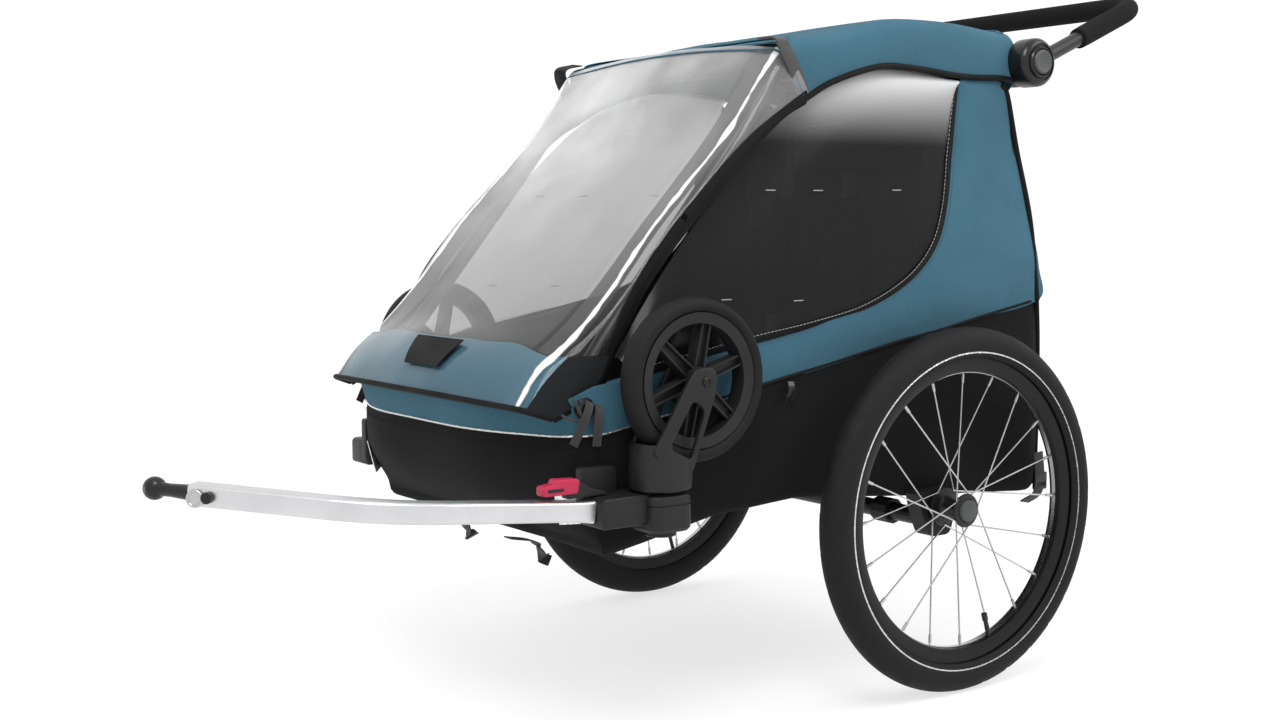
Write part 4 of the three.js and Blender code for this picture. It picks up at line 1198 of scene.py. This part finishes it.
SLEEVE = ("chassis", "bow", (0, -0.10, 0.48), (0, -0.135, 0.677))  # the chassis, the bow and two points; made() bakes a piece given this in place, with no parent
PANEL_KEYS = [  # matched (y, z) on the outer and the inner edge of the blue panel
    ((0.098, 0.846), (0.086, 0.832)),
    ((0.186, 0.838), (0.078, 0.790)),
    ((0.204, 0.760), (0.070, 0.745)),
    ((0.216, 0.660), (0.052, 0.672)),
    ((0.226, 0.580), (0.022, 0.612)),
    ((0.230, 0.528), (-0.030, 0.566)),
    ((0.080, 0.500), (-0.110, 0.530)),
    ((-0.080, 0.471), (-0.200, 0.510)),
    ((-0.240, 0.440), (-0.290, 0.494)),
    ((-0.380, 0.413), (-0.400, 0.474)),
    ((-0.541, 0.386), (-0.525, 0.452)),
]
WINDOW_LOW = [inner for outer, inner in PANEL_KEYS[:10]] + [(-0.50, 0.455)]
WINDOW_TOP = [
    (0.090, 0.842), (0.030, 0.850), (-0.045, 0.850), (-0.115, 0.838), (-0.172, 0.816), (-0.224, 0.783),
    (-0.282, 0.733), (-0.360, 0.660), (-0.412, 0.606), (-0.462, 0.546), (-0.510, 0.482),
]
WINDOW_TACKS = [(-0.268, 0.684), (-0.187, 0.684), (-0.046, 0.685), (-0.350, 0.546), (-0.234, 0.541)]
REAR_BINDING = [(0.180, 0.838), (0.192, 0.823), (0.207, 0.744), (0.217, 0.643), (0.222, 0.526)]


def side_x(y, z):
    """How far out the side wall stands: it leaves the tub's rim and leans in towards the roof."""
    lean = 0.284 - 0.06 * (z - 0.48)
    rise = smooth((z - belt_z(y)) / 0.25)
    return plan_x(y) * (1 - rise) + lean * rise


def side_skin(start, end, shares, puff):
    """A sheet on the side wall from one line of (y, z) points to another, puffed out by puff(share)."""
    rows = []
    for a, b in zip(start, end):
        places = [a + (b - a) * t for t in shares]
        rows.append([(side_x(y, z) + puff(t), y, z) for (y, z), t in zip(places, shares)])
    return loft(rows)


def window_crown(share):
    """The film bulges a little, lies just under the panel and turns in at its top edge."""
    bulge = 0.008 * math.sin(math.pi * min(max(share, 0), 1))
    return bulge - 0.008 * max(0, (share - 0.75) / 0.25) ** 2 - 0.001


def build_sides():
    outer = through([o for o, i in PANEL_KEYS], 8)
    inner = through([i for o, i in PANEL_KEYS], 8)
    panel = side_skin(outer, inner, np.linspace(0, 1, 9), lambda t: 0.0045 * math.sin(math.pi * t))
    panel = crumpled(panel, 0.0028, 0.09, 1.0)
    panels = both("side_cloth", panel, "blue", SLEEVE, ["{side}_side_panel"], thick=0.0016, sharp=60)
    # A black sheet 4 mm inside each blue side panel, which keeps the panel's inner face dark.
    lining = panel[0] - np.array([0.004, 0, 0])
    inside = both("side_dark_sheet", (lining, panel[1]), "lining", SLEEVE, sharp=60)
    low = through(WINDOW_LOW, 8)
    window = side_skin(low, through(WINDOW_TOP, 8), np.linspace(-0.06, 1, 16), window_crown)
    windows = both("window_film", window, "tinted", SLEEVE, ["{side}_window"], sharp=60)
    seam = [(side_x(y, z) + 0.0012, y, z) for y, z in low]
    both("window_edge", sweep(seam, band(0.0035, 0.009), up=(0, 1, 0)), "trim", SLEEVE)
    seams = (("window_stitches", "thread", -0.0068), ("panel_stitches", "dark_thread", 0.0085))
    for name, look, offset in seams:
        line = []
        for a, b in zip(inner, outer):
            y, z = a + unit(b - a) * offset
            line.append((side_x(*a) + 0.0036, y, z))
        both(name, stitches(line[2:-4]), look, SLEEVE)
    for number, (y, z) in enumerate(WINDOW_TACKS, 1):
        x = side_x(y, z) + 0.0095
        tack = sweep([(x, y - 0.008, z), (x, y + 0.008, z)], band(0.0012, 0.0006))
        both(f"window_tack_{number}", tack, "thread", SLEEVE)
    rear = through([(side_x(y, z) + 0.001, y, z) for y, z in REAR_BINDING], 8)
    both("rear_binding", sweep(rear, circle(0.0042, 12)), "trim", SLEEVE)
    corner = [(0.299, 0.222, 0.526), (0.288, 0.238, 0.459), (0.288, 0.238, 0.35), (0.286, 0.238, 0.262)]
    both("tub_corner_binding", sweep(through(corner, 6), circle(0.004, 12)), "trim", "chassis")


PILLAR = [
    (-0.203, 0.806), (-0.241, 0.786), (-0.293, 0.744), (-0.374, 0.666), (-0.422, 0.618), (-0.466, 0.566),
    (-0.503, 0.508), (-0.527, 0.455), (-0.545, 0.425),
]
ROOF_EDGE = [
    (-0.205, 0.800), (-0.150, 0.828), (-0.066, 0.852), (0, 0.853),
    (0.098, 0.846), (0.170, 0.847), (0.206, 0.845),
]
ROOF_TOP = [
    (-0.228, 0.878), (-0.183, 0.889), (-0.12, 0.899), (-0.06, 0.914), (-0.02, 0.921), (0.05, 0.924),
    (0.12, 0.921), (0.206, 0.914),
]
ROOF_X = 0.266
FLAP_BOTTOM = 0.822


def build_pillars():
    path = [(0.2705, y, z) for y, z in through(PILLAR, 8)]
    both("pillar_binding", sweep(path, band(0.020, 0.0024), up=(1, 0, 0)), "trim", "bow")
    edge = [(ROOF_X + 0.0015, y, z) for y, z in through(ROOF_EDGE, 8)]
    both("roof_binding", sweep(edge, circle(0.0042, 12)), "trim", "bow")
    corner = [
        (0.225, -0.234, 0.884), (0.262, -0.238, 0.881), (0.2705, -0.236, 0.868),
        (0.2735, -0.222, 0.842), (0.2745, -0.206, 0.808),
    ]
    both("corner_strap", sweep(through(corner, 8), band(0.0018, 0.021), up=(0, 1, 0)), "strap", "bow")


def roof():
    """The canopy as one sheet: up one side, over the top and down the other, with a flap down the back."""
    top = through(ROOF_TOP, 8)
    low = resampled(through(ROOF_EDGE, 8), len(top))
    half = [  # (x, share of the height from the side edge to the top)
        (ROOF_X, 0), (ROOF_X + 0.001, 0.2), (ROOF_X + 0.0005, 0.45), (0.2645, 0.66),
        (0.2605, 0.83), (0.252, 0.95), (0.236, 1.0), (0.205, 1.015),
        (0.16, 1.02), (0.11, 1.02), (0.055, 1.015), (0, 1.01),
    ]
    line = through(half, 4)
    rows = []
    for (yt, zt), (yl, zl) in zip(top, low):
        column = [(x, yl + (yt - yl) * min(s, 1), zl + (zt - zl) * s) for x, s in line]
        rows.append(column + [(-x, y, z) for x, y, z in reversed(column[:-1])])
    x, y, z = np.array(rows[-1]).T
    for t in np.linspace(0.12, 1, 8):
        narrowed = x * np.where(np.abs(x) > 0.2, 1 - 0.12 * t, 1)
        lowered = z + (np.minimum(FLAP_BOTTOM, z) - z) * t
        rows.append(np.stack([narrowed, y + 0.008 * math.sin(t * math.pi / 2), lowered], axis=1))
    verts, faces = loft(rows)
    weight = [0.35 + 1.6 * smooth((y - 0.10) / 0.1) * smooth((abs(x) - 0.15) / 0.08) for x, y, z in verts]
    return crumpled((verts, faces), 0.0028, 0.075, 5.0, weight)


def build_roof():
    canopy = made("roof_cloth", roof(), "blue", "bow", ["roof_cover"], thick=0.0018, sharp=60)
    for name, y, z in (("roof_front_seam", -0.205, 0.8865), ("roof_rear_seam", 0.192, 0.9195)):
        half = [(0.25, y + 0.002, z - 0.006), (0.225, y, z), (0.12, y, z + 0.001), (0.02, y, z + 0.001)]
        path = across(through(half, 8))
        made(name, sweep(path, band(0.010, 0.0016), up=(0, 0, 1)), "blue", "bow")
        made(name + "_stitches", stitches(path + (0, 0.0035, 0.0011)), "dark_thread", "bow")
    half = [(0.232, 0.2145, 0.826), (0.20, 0.2165, 0.823), (0.1, 0.2165, 0.822), (0.01, 0.2165, 0.822)]
    binding = sweep(across(through(half, 6)), band(0.009, 0.0028), up=(0, 1, 0))
    made("roof_flap_binding", binding, "trim", "bow")


# ---------------------------------------------------------------- front cover

COVER_MIDDLE = [
    (-0.228, 0.886), (-0.300, 0.790), (-0.380, 0.690), (-0.470, 0.590), (-0.550, 0.525), (-0.605, 0.493),
    (-0.640, 0.460), (-0.650, 0.428),
]
COVER_RIDGE = [
    (-0.229, 0.872), (-0.310, 0.764), (-0.382, 0.690), (-0.437, 0.634), (-0.506, 0.552), (-0.556, 0.502),
    (-0.603, 0.465), (-0.634, 0.424),
]
COVER_FLAP = [
    (-0.203, 0.810), (-0.298, 0.748), (-0.381, 0.673), (-0.432, 0.621), (-0.476, 0.567), (-0.510, 0.506),
    (-0.534, 0.455), (-0.562, 0.430), (-0.600, 0.412),
]
COVER_ROWS = 73
FLAP_SHARES = [(0.278, 0), (0.274, 0.45), (0.266, 0.8)]  # (x, share of the way from flap to ridge)
SLOPE_SHARES = [(0.252, 0.02), (0.225, 0.22), (0.17, 0.55), (0.1, 0.85), (0.045, 0.97), (0, 1)]


def cover_grid():
    """Points of the front cover: rows from the roof down to the lip, columns from left to right."""
    lines = [resampled(through(keys, 10), COVER_ROWS) for keys in (COVER_FLAP, COVER_RIDGE, COVER_MIDDLE)]
    rows = []
    for flap, ridge, middle in zip(*lines):
        half = [(x, *(flap + (ridge - flap) * share)) for x, share in FLAP_SHARES]
        half += [(x, *(ridge + (middle - ridge) * share)) for x, share in SLOPE_SHARES]
        column = through(half, 5)
        rows.append(np.vstack([column, column[-2::-1] * (-1, 1, 1)]))
    return np.array(rows)


def inset(grid, depth):
    """The same sheet moved in by depth along its normals."""
    down = np.gradient(grid, axis=0)
    along = np.gradient(grid, axis=1)
    normal = np.cross(down, along)
    normal /= np.linalg.norm(normal, axis=2)[..., None]
    if normal[len(grid) // 2, grid.shape[1] // 2, 1] < 0:
        normal = -normal
    return grid + normal * depth


def part_of(grid, start, end, rows=20):
    """The stretch of each column between heights start and end, which may be functions of x."""
    columns = []
    for column in np.swapaxes(grid, 0, 1):
        share = np.linspace(0, 1, len(column))
        x = column[0][0]
        falling = -column[:, 2]
        ends = [np.interp(-z, falling, share) for z in (start(x), end(x))]
        wanted = np.linspace(*ends, rows)
        columns.append(np.stack([np.interp(wanted, share, column[:, k]) for k in range(3)], axis=1))
    return loft(np.swapaxes(np.array(columns), 0, 1))


def wrinkle_weight(point):
    """The film is tight in the middle of the slope, and slack along its ridges and lip."""
    x, y, z = point
    upper_ridge = smooth((abs(x) - 0.16) / 0.08) * smooth((z - 0.74) / 0.1)
    return 0.3 + 0.9 * upper_ridge + 0.7 * smooth((0.5 - z) / 0.06)


def apron_top(x):
    return 0.495 - 0.012 * smooth((abs(x) - 0.15) / 0.1)


def above_grid(x):
    return 0.95


def below_grid(x):
    return 0.2


def cover_patch(grid):
    """The blank patch on the apron, which narrows toward the lip."""
    top, bottom = 0.4945, 0.4615
    line = inset(grid, -0.0035)[:, grid.shape[1] // 2]
    rows = []
    for z in np.linspace(top, bottom, 8):
        y = np.interp(-z, -line[:, 2], line[:, 1])
        share = (z - bottom) / (top - bottom)
        rows.append([(x, y, z) for x in np.linspace(-0.0195 - 0.025 * share, 0.0695 + 0.0105 * share, 11)])
    return loft(rows)


def build_cover():
    """The clear film, the netting and the dark borders under it, the apron, and the edges."""
    grid = cover_grid()
    skin = loft(grid)
    film_shape = crumpled(skin, 0.0032, 0.07, 12.0, [wrinkle_weight(v) for v in skin[0]])
    cover = made("cover_film", film_shape, "clear", "front_cover", ["front_cover"], sharp=70)
    x = grid[0, :, 0]
    slope = inset(grid, 0.006)
    net = part_of(slope[:, np.abs(x) < 0.205], above_grid, apron_top, 40)
    made("cover_netting", net, "net", "front_cover", sharp=70)
    for side, sign in (("left", 1), ("right", -1)):
        columns = (sign * x > 0.197) & (sign * x < 0.256)
        border = part_of(slope[:, columns], above_grid, apron_top, 40)
        border_piece = made(f"{side}_cover_border", border, "dark_net", "front_cover", sharp=70)
    apron = crumpled(part_of(inset(grid, 0.0025), apron_top, below_grid, 16), 0.0015, 0.06, 9.0)
    apron_piece = made("cover_apron", apron, "blue", "front_cover", thick=0.001, sharp=60)
    lip = grid[-1] + (0, -0.001, 0)
    made("cover_lip", sweep(lip, circle(0.0038, 12)), "trim", "front_cover")
    for side, edge, columns in (("left", 0, slice(0, 12)), ("right", -1, slice(-12, None))):
        hem = sweep(grid[:, edge], band(0.0022, 0.011), up=(0, 0.7, 0.7))
        made(f"{side}_cover_hem", hem, "trim", "front_cover")
        corner = part_of(inset(grid[:, columns], -0.0022), lambda x: 0.484, below_grid, 10)
        made(f"{side}_cover_corner", corner, "lining", "front_cover", thick=0.0012, sharp=60)
    top = grid[1] + (0, -0.001, 0.001)
    made("cover_top_binding", sweep(top, band(0.003, 0.0012), up=(0, -0.6, 0.8)), "blue", "front_cover")
    made("cover_patch", cover_patch(grid), "trim", "front_cover", thick=0.0014, out=1, sharp=60)


# ---------------------------------------------------------------- back and inside


REAR_HEIGHTS = [0.36, 0.46, 0.60, 0.74, 0.83]
REAR_DEPTHS = [0.2435, 0.240, 0.232, 0.222, 0.212]


def rear_y(z):
    return float(np.interp(z, REAR_HEIGHTS, REAR_DEPTHS))


def rear_half(z):
    """Half the back wall's width at a height."""
    return float(np.interp(z, [0.46, 0.53, 0.75, 0.80, 0.83], [0.284, 0.283, 0.270, 0.262, 0.228]))


def rear_sheet(inside=0.0, bottom=0.352, top=0.828):
    """The back wall between the tub's sill and the roof flap."""
    rows = []
    for t in np.linspace(0, 1, 24):
        z = bottom + (top - bottom) * t
        points = []
        for s in np.linspace(-1, 1, 41):
            turn_in = 0.013 * smooth((abs(s) - 0.86) / 0.14)
            puff = 0.004 * math.cos(s * math.pi / 2) * math.sin(math.pi * t)
            points.append((s * rear_half(z), rear_y(z) - inside - turn_in + puff, z))
        rows.append(points)
    return loft(rows)


def rear_pocket():
    """A flat pocket that bulges in its middle and is drawn in under its zip."""
    half, bottom, height = 0.199, 0.395, 0.215
    rows = []
    for t in np.linspace(0, 1, 14):
        z = bottom + height * t
        puff = 0.016 * math.sin(math.pi * min(1, t * 1.15)) ** 0.6 if t < 0.87 else 0.002
        row_y = rear_y(z) + 0.004
        across_row = np.linspace(-half, half, 31)
        rows.append([(x, row_y + puff * math.cos(x / 0.2 * math.pi / 2) ** 0.5, z) for x in across_row])
    return loft(rows)


def build_back():
    back = ("chassis", "bow", (0, 0.241, 0.40), (0, 0.205, 0.80))
    wall_shape = crumpled(rear_sheet(), 0.003, 0.1, 4.0)
    wall = made("rear_cloth", wall_shape, "blue", back, ["rear_panel"], thick=0.0016, sharp=60)
    lining = made("rear_lining", rear_sheet(0.008, 0.365, 0.86), "lining", back, thick=0.001, sharp=60)
    pocket_shape = crumpled(rear_pocket(), 0.003, 0.06, 6.0)
    pocket = made("rear_pocket", pocket_shape, "blue", back, thick=0.0015, sharp=60)
    side = [(0.2, 0.2415, 0.61), (0.204, 0.2455, 0.50), (0.2, 0.2485, 0.394), (0, 0.2505, 0.392)]
    edges = {
        "rear_pocket_binding": [(-x, y, z) for x, y, z in side] + side[2::-1],
        "rear_pocket_zip": [(-0.198, 0.2395, 0.612), (0, 0.2425, 0.612), (0.198, 0.2395, 0.612)],
    }
    for name, line in edges.items():
        made(name, sweep(through(line, 8), band(0.011, 0.003), up=(0, 1, 0)), "trim", back)
    zip_line = through([(-0.195, 0.2425, 0.612), (0, 0.2455, 0.612), (0.195, 0.2425, 0.612)], 8)
    made("rear_zip_teeth", stitches(zip_line, 0.0035, 0.55, 0.0011), "gloss", back)
    pull = rounded([
        (0.2455, 0.585, 0.002), (0.2485, 0.585, 0.001), (0.2485, 0.611, 0.001), (0.2455, 0.611, 0.002),
    ])
    made("rear_zip_pull", plate([pull], 0.172, 0.180, 0.0008), "steel", back)
    strip = [(x, 0.2475 - 0.006 * abs(x), 0.375) for x in np.linspace(-0.21, 0.21, 15)]
    made("rear_reflector", sweep(strip, band(0.018, 0.001), up=(0, 1, 0)), "reflector", "chassis")


def cushion(node, name, body):
    """A stuffed pad in place of a CAD node: a soft box filled by a cloth simulation, then sewn down."""
    margin, corner, voxel, most_move = 0.007, 0.014, 0.0065, 0.009
    low, high = np.array(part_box(node))
    bpy.ops.mesh.primitive_cube_add(size=1)
    obj = bpy.context.object
    obj.name = name
    size = high - low - 2 * margin
    obj.data.transform(Matrix.Translation((low + high) / 2) @ Matrix.Diagonal((*size, 1)))
    remesh = ("REMESH", {"mode": "VOXEL", "voxel_size": voxel})
    baked(obj, ("BEVEL", {"width": corner, "segments": 3}), remesh)
    rest = corners_of(obj)
    fill_out(obj)
    move = corners_of(obj) - rest
    length = np.linalg.norm(move, axis=1)[:, None]
    move *= np.minimum(1, most_move / np.maximum(length, 1e-9))
    for vertex, point in zip(obj.data.vertices, rest + move):
        vertex.co = point
    sewn(obj, low, high)
    baked(obj, ("SUBSURF", {"levels": 1, "render_levels": 1}))
    obj.data.shade_smooth()
    finished(obj, "lining")
    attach(obj, body)
    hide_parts(node)


def corners_of(obj):
    return np.array([v.co[:] for v in obj.data.vertices])


def fill_out(obj):
    """Blows the pad up a little, as its stuffing does."""
    modifier = obj.modifiers.new("stuffing", "CLOTH")
    settings = modifier.settings
    settings.quality = 5
    settings.use_pressure = True
    settings.uniform_pressure_force = 4.0
    settings.effector_weights.gravity = 0
    modifier.point_cache.frame_start = 1
    modifier.point_cache.frame_end = 20
    for number in range(1, 21):
        bpy.context.scene.frame_set(number)
    baked(obj)
    bpy.context.scene.frame_set(1)


def sewn(obj, low, high):
    """Presses sewn channels into the pad's show side: three across it and one down its middle."""
    deep, narrow, repeats = 0.005, 12, 8
    tall = high[2] - low[2] > high[1] - low[1]
    along_axis, face_axis = (2, 1) if tall else (1, 2)
    middle = (low + high) / 2
    for vertex in obj.data.vertices:
        shares = (np.array(vertex.co) - low) / (high - low)
        gaps = [shares[along_axis] - seam for seam in (0.25, 0.5, 0.75)] + [shares[0] - 0.5]
        depth = deep * max(math.exp(-((gap * repeats) ** 2) * narrow) for gap in gaps)
        if tall and vertex.co.y < middle[face_axis]:
            vertex.co.y += depth
        elif not tall and vertex.co.z > middle[face_axis]:
            vertex.co.z -= depth


def build_seat():
    cushion("seat_cushion", "seat_pad", "chassis")
    cushion("seat_back", "back_pad", "seat_back")
    wing = []
    for z in np.linspace(0.37, 0.745, 12):
        lean = 0.10 * (z - 0.37)
        line = [(0.190, 0.078, z), (0.225, 0.062, z), (0.248, 0.025, z), (0.262, -0.012, z)]
        wing.append(through(np.array(line) + (0, lean, 0), 6))
    for piece in both("seat_wing", loft(wing), "lining", "seat_back", thick=0.002, sharp=60):
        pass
    low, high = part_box("seat_back")
    front = low[1] - AXLE_Y + 0.002
    for side, x in (("left", 0.11), ("right", -0.11)):
        keys = [
            (x * 0.6, front, high[2] - 0.02), (x * 0.75, front - 0.008, high[2] - 0.12),
            (x * 0.9, front - 0.01, high[2] - 0.24), (x, front - 0.006, low[2] + 0.06),
        ]
        path = through(keys, 8)
        strap = sweep(path, band(0.028, 0.003), up=(0, -1, 0))
        made(f"{side}_harness_strap", strap, "strap", "seat_back")
        pad = resampled(path[3:17], 10) + (0, -0.004, 0)
        made(f"{side}_harness_pad", sweep(pad, band(0.045, 0.008), up=(0, -1, 0)), "black", "seat_back")


# ---------------------------------------------------------------- small fittings


def strap_end(name, keys, section, look="strap", up=(1, 0, 0), steps=6):
    """A short strap or hook on both sides of the tub."""
    both(name, sweep(through(keys, steps), band(*section), up=up), look, "chassis")


def build_fittings():
    """Knobs, elastics, strap ends, a hook, buckles and reflectors that hang round the frame."""
    dial = [
        (0, -0.007), (0.0125, -0.007), (0.0135, -0.005), (0.0135, 0.004),
        (0.012, 0.0062), (0.007, 0.0068), (0.0055, 0.0055), (0, 0.0055),
    ]
    both("fold_knob", lathe(dial, 40, (0.283, FOLD_Y, FOLD_Z)), "gloss", "chassis", sharp=30)
    loops = [
        [
            (0.2745, -0.570, 0.437), (0.289, -0.575, 0.430), (0.290, -0.562, 0.408),
            (0.289, -0.548, 0.412), (0.288, -0.545, 0.426), (0.284, -0.553, 0.437),
        ],
        [(0.2725, -0.590, 0.420), (0.284, -0.586, 0.413), (0.288, -0.572, 0.408), (0.2885, -0.560, 0.407)],
    ]
    for number, loop in enumerate(loops, 1):
        both(f"cover_elastic_{number}", sweep(through(loop, 6), circle(0.0018, 10)), "strap", "front_cover")
    straps = [
        [(0.2775, -0.548, 0.444), (0.2935, -0.560, 0.420), (0.2925, -0.581, 0.380)],
        [(0.2785, -0.535, 0.440), (0.2945, -0.545, 0.415), (0.2945, -0.549, 0.377)],
    ]
    for number, keys in enumerate(straps, 1):
        strap_end(f"fold_strap_{number}", keys, (0.012, 0.0018), steps=8)
    hook = [(0.300, -0.250, 0.436), (0.3035, -0.251, 0.427), (0.302, -0.253, 0.415), (0.298, -0.252, 0.418)]
    strap_end("side_hook", hook, (0.012, 0.003), look="gloss")
    rear = [(0.2955, 0.235, 0.300), (0.2965, 0.238, 0.268), (0.292, 0.239, 0.239), (0.270, 0.236, 0.222)]
    strap_end("rear_buckle_strap", rear, (0.020, 0.002))
    outline = rectangle(0.226, 0.244, 0.2525, 0.270, 0.003)
    slit = rectangle(0.231, 0.250, 0.2475, 0.2545, 0.001)
    both("rear_buckle", plate([outline, slit], 0.293, 0.2985, 0.001), "gloss", "chassis")
    under = [(0.10, -0.560, 0.236), (0.10, -0.520, 0.226), (0.10, -0.505, 0.203), (0.104, -0.498, 0.198)]
    strap_end("front_buckle_strap", under, (0.020, 0.002), up=(0, -0.6, 0.8))
    nose = [(0.268, -0.577, 0.327), (0.2655, -0.571, 0.300), (0.264, -0.566, 0.280)]
    patch = sweep(nose, band(0.032, 0.0015), up=(0.62, -0.78, 0))
    both("nose_reflector", patch, "reflector", "chassis")


def dress(node, look):
    """Gives a CAD node that stays in view its finish."""
    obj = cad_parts[node]
    obj.data.materials.clear()
    obj.data.materials.append(LOOKS[look][0])


def dress_frame():
    for side in ("left", "right"):
        dress(f"{side}_side_rail", "tube")
        dress(f"{side}_axle_receiver", "plastic")
        dress(f"{side}_wheel_axle", "steel")
        dress(f"{side}_fold_bracket", "plastic")
    for node in ("front_cross_tube", "rear_cross_tube", "axle_tube"):
        dress(node, "tube")
    dress("brake_pedal", "plastic")
    dress("floor_board", "lining")


# ---------------------------------------------------------------- camera, light and floor


def softbox(name, toward, distance, size, radiance, target=(0, -0.2, 0.5)):
    """A square light of that radiance, which stands off from target in the direction toward."""
    light = bpy.data.lights.new(name, "AREA")
    light.shape = "SQUARE"
    light.size = size
    light.energy = radiance * math.pi * size * size
    lamp = placed(name, light)
    toward = Vector(unit(toward))
    lamp.location = Vector(row(target)) + toward * distance
    lamp.rotation_euler = toward.to_track_quat("Z", "Y").to_euler()


def build_studio():
    """A white floor that glows a little, a white sky and two softboxes."""
    floor = bpy.data.meshes.new("floor")
    half = 30
    corners = [(-half, -half, 0), (half, -half, 0), (half, half, 0), (-half, half, 0)]
    floor.from_pydata(corners, [], [(0, 1, 2, 3)])
    ground = placed("floor", floor)
    t = Tree("lit_floor")
    pale = t.mix(t.ramp(t.noise(3), 0.3, 0.7), rgb((0.33, 0.33, 0.335)), rgb((0.35, 0.35, 0.35)))
    glow = {"Emission_Color": (1, 1, 1, 1), "Emission_Strength": 0.68}
    shader = t.shade(Base_Color=pale, Roughness=0.9, Specular_IOR_Level=0.1, **glow)
    floor.materials.append(t.finish(shader))
    scene = bpy.context.scene
    scene.world = bpy.data.worlds.new("studio")
    scene.world.use_nodes = True
    back = scene.world.node_tree.nodes["Background"]
    back.inputs["Color"].default_value = (1, 1, 1, 1)
    back.inputs["Strength"].default_value = 1.07
    scene.view_settings.view_transform = "Standard"
    softbox("key_softbox", (0.49, -0.40, 0.77), 2.6, 1.1, 9.0)
    softbox("side_softbox", (0.59, 0.57, 0.57), 2.6, 1.3, 3.5)


def build_camera():
    """The photo's camera, as its place, direction and lens were solved."""
    place = (1.8907, -1.3507, 0.6513)
    azimuth, elevation, roll = np.radians([54.805, 5.089, -0.334])
    flat = math.cos(elevation)
    back = np.array([math.sin(azimuth) * flat, -math.cos(azimuth) * flat, math.sin(elevation)])
    level = np.array([math.cos(azimuth), math.sin(azimuth), 0])
    upright = np.cross(back, level)
    right = math.cos(roll) * level + math.sin(roll) * upright
    up = math.cos(roll) * upright - math.sin(roll) * level
    data = bpy.data.cameras.new("camera")
    data.lens = 45.35
    data.sensor_width = 36
    camera = placed("camera", data)
    turn = Matrix(np.stack([right, up, back], axis=1).tolist())
    camera.matrix_world = Matrix.Translation(place) @ turn.to_4x4()
    bpy.context.scene.camera = camera


build_wheels()
build_casters()
build_tow_arm()
build_release_tab()
build_bows()
build_hubs()
build_handle()
build_tub()
build_sides()
build_pillars()
build_roof()
build_cover()
build_back()
build_seat()
build_fittings()
dress_frame()
build_studio()
build_camera()
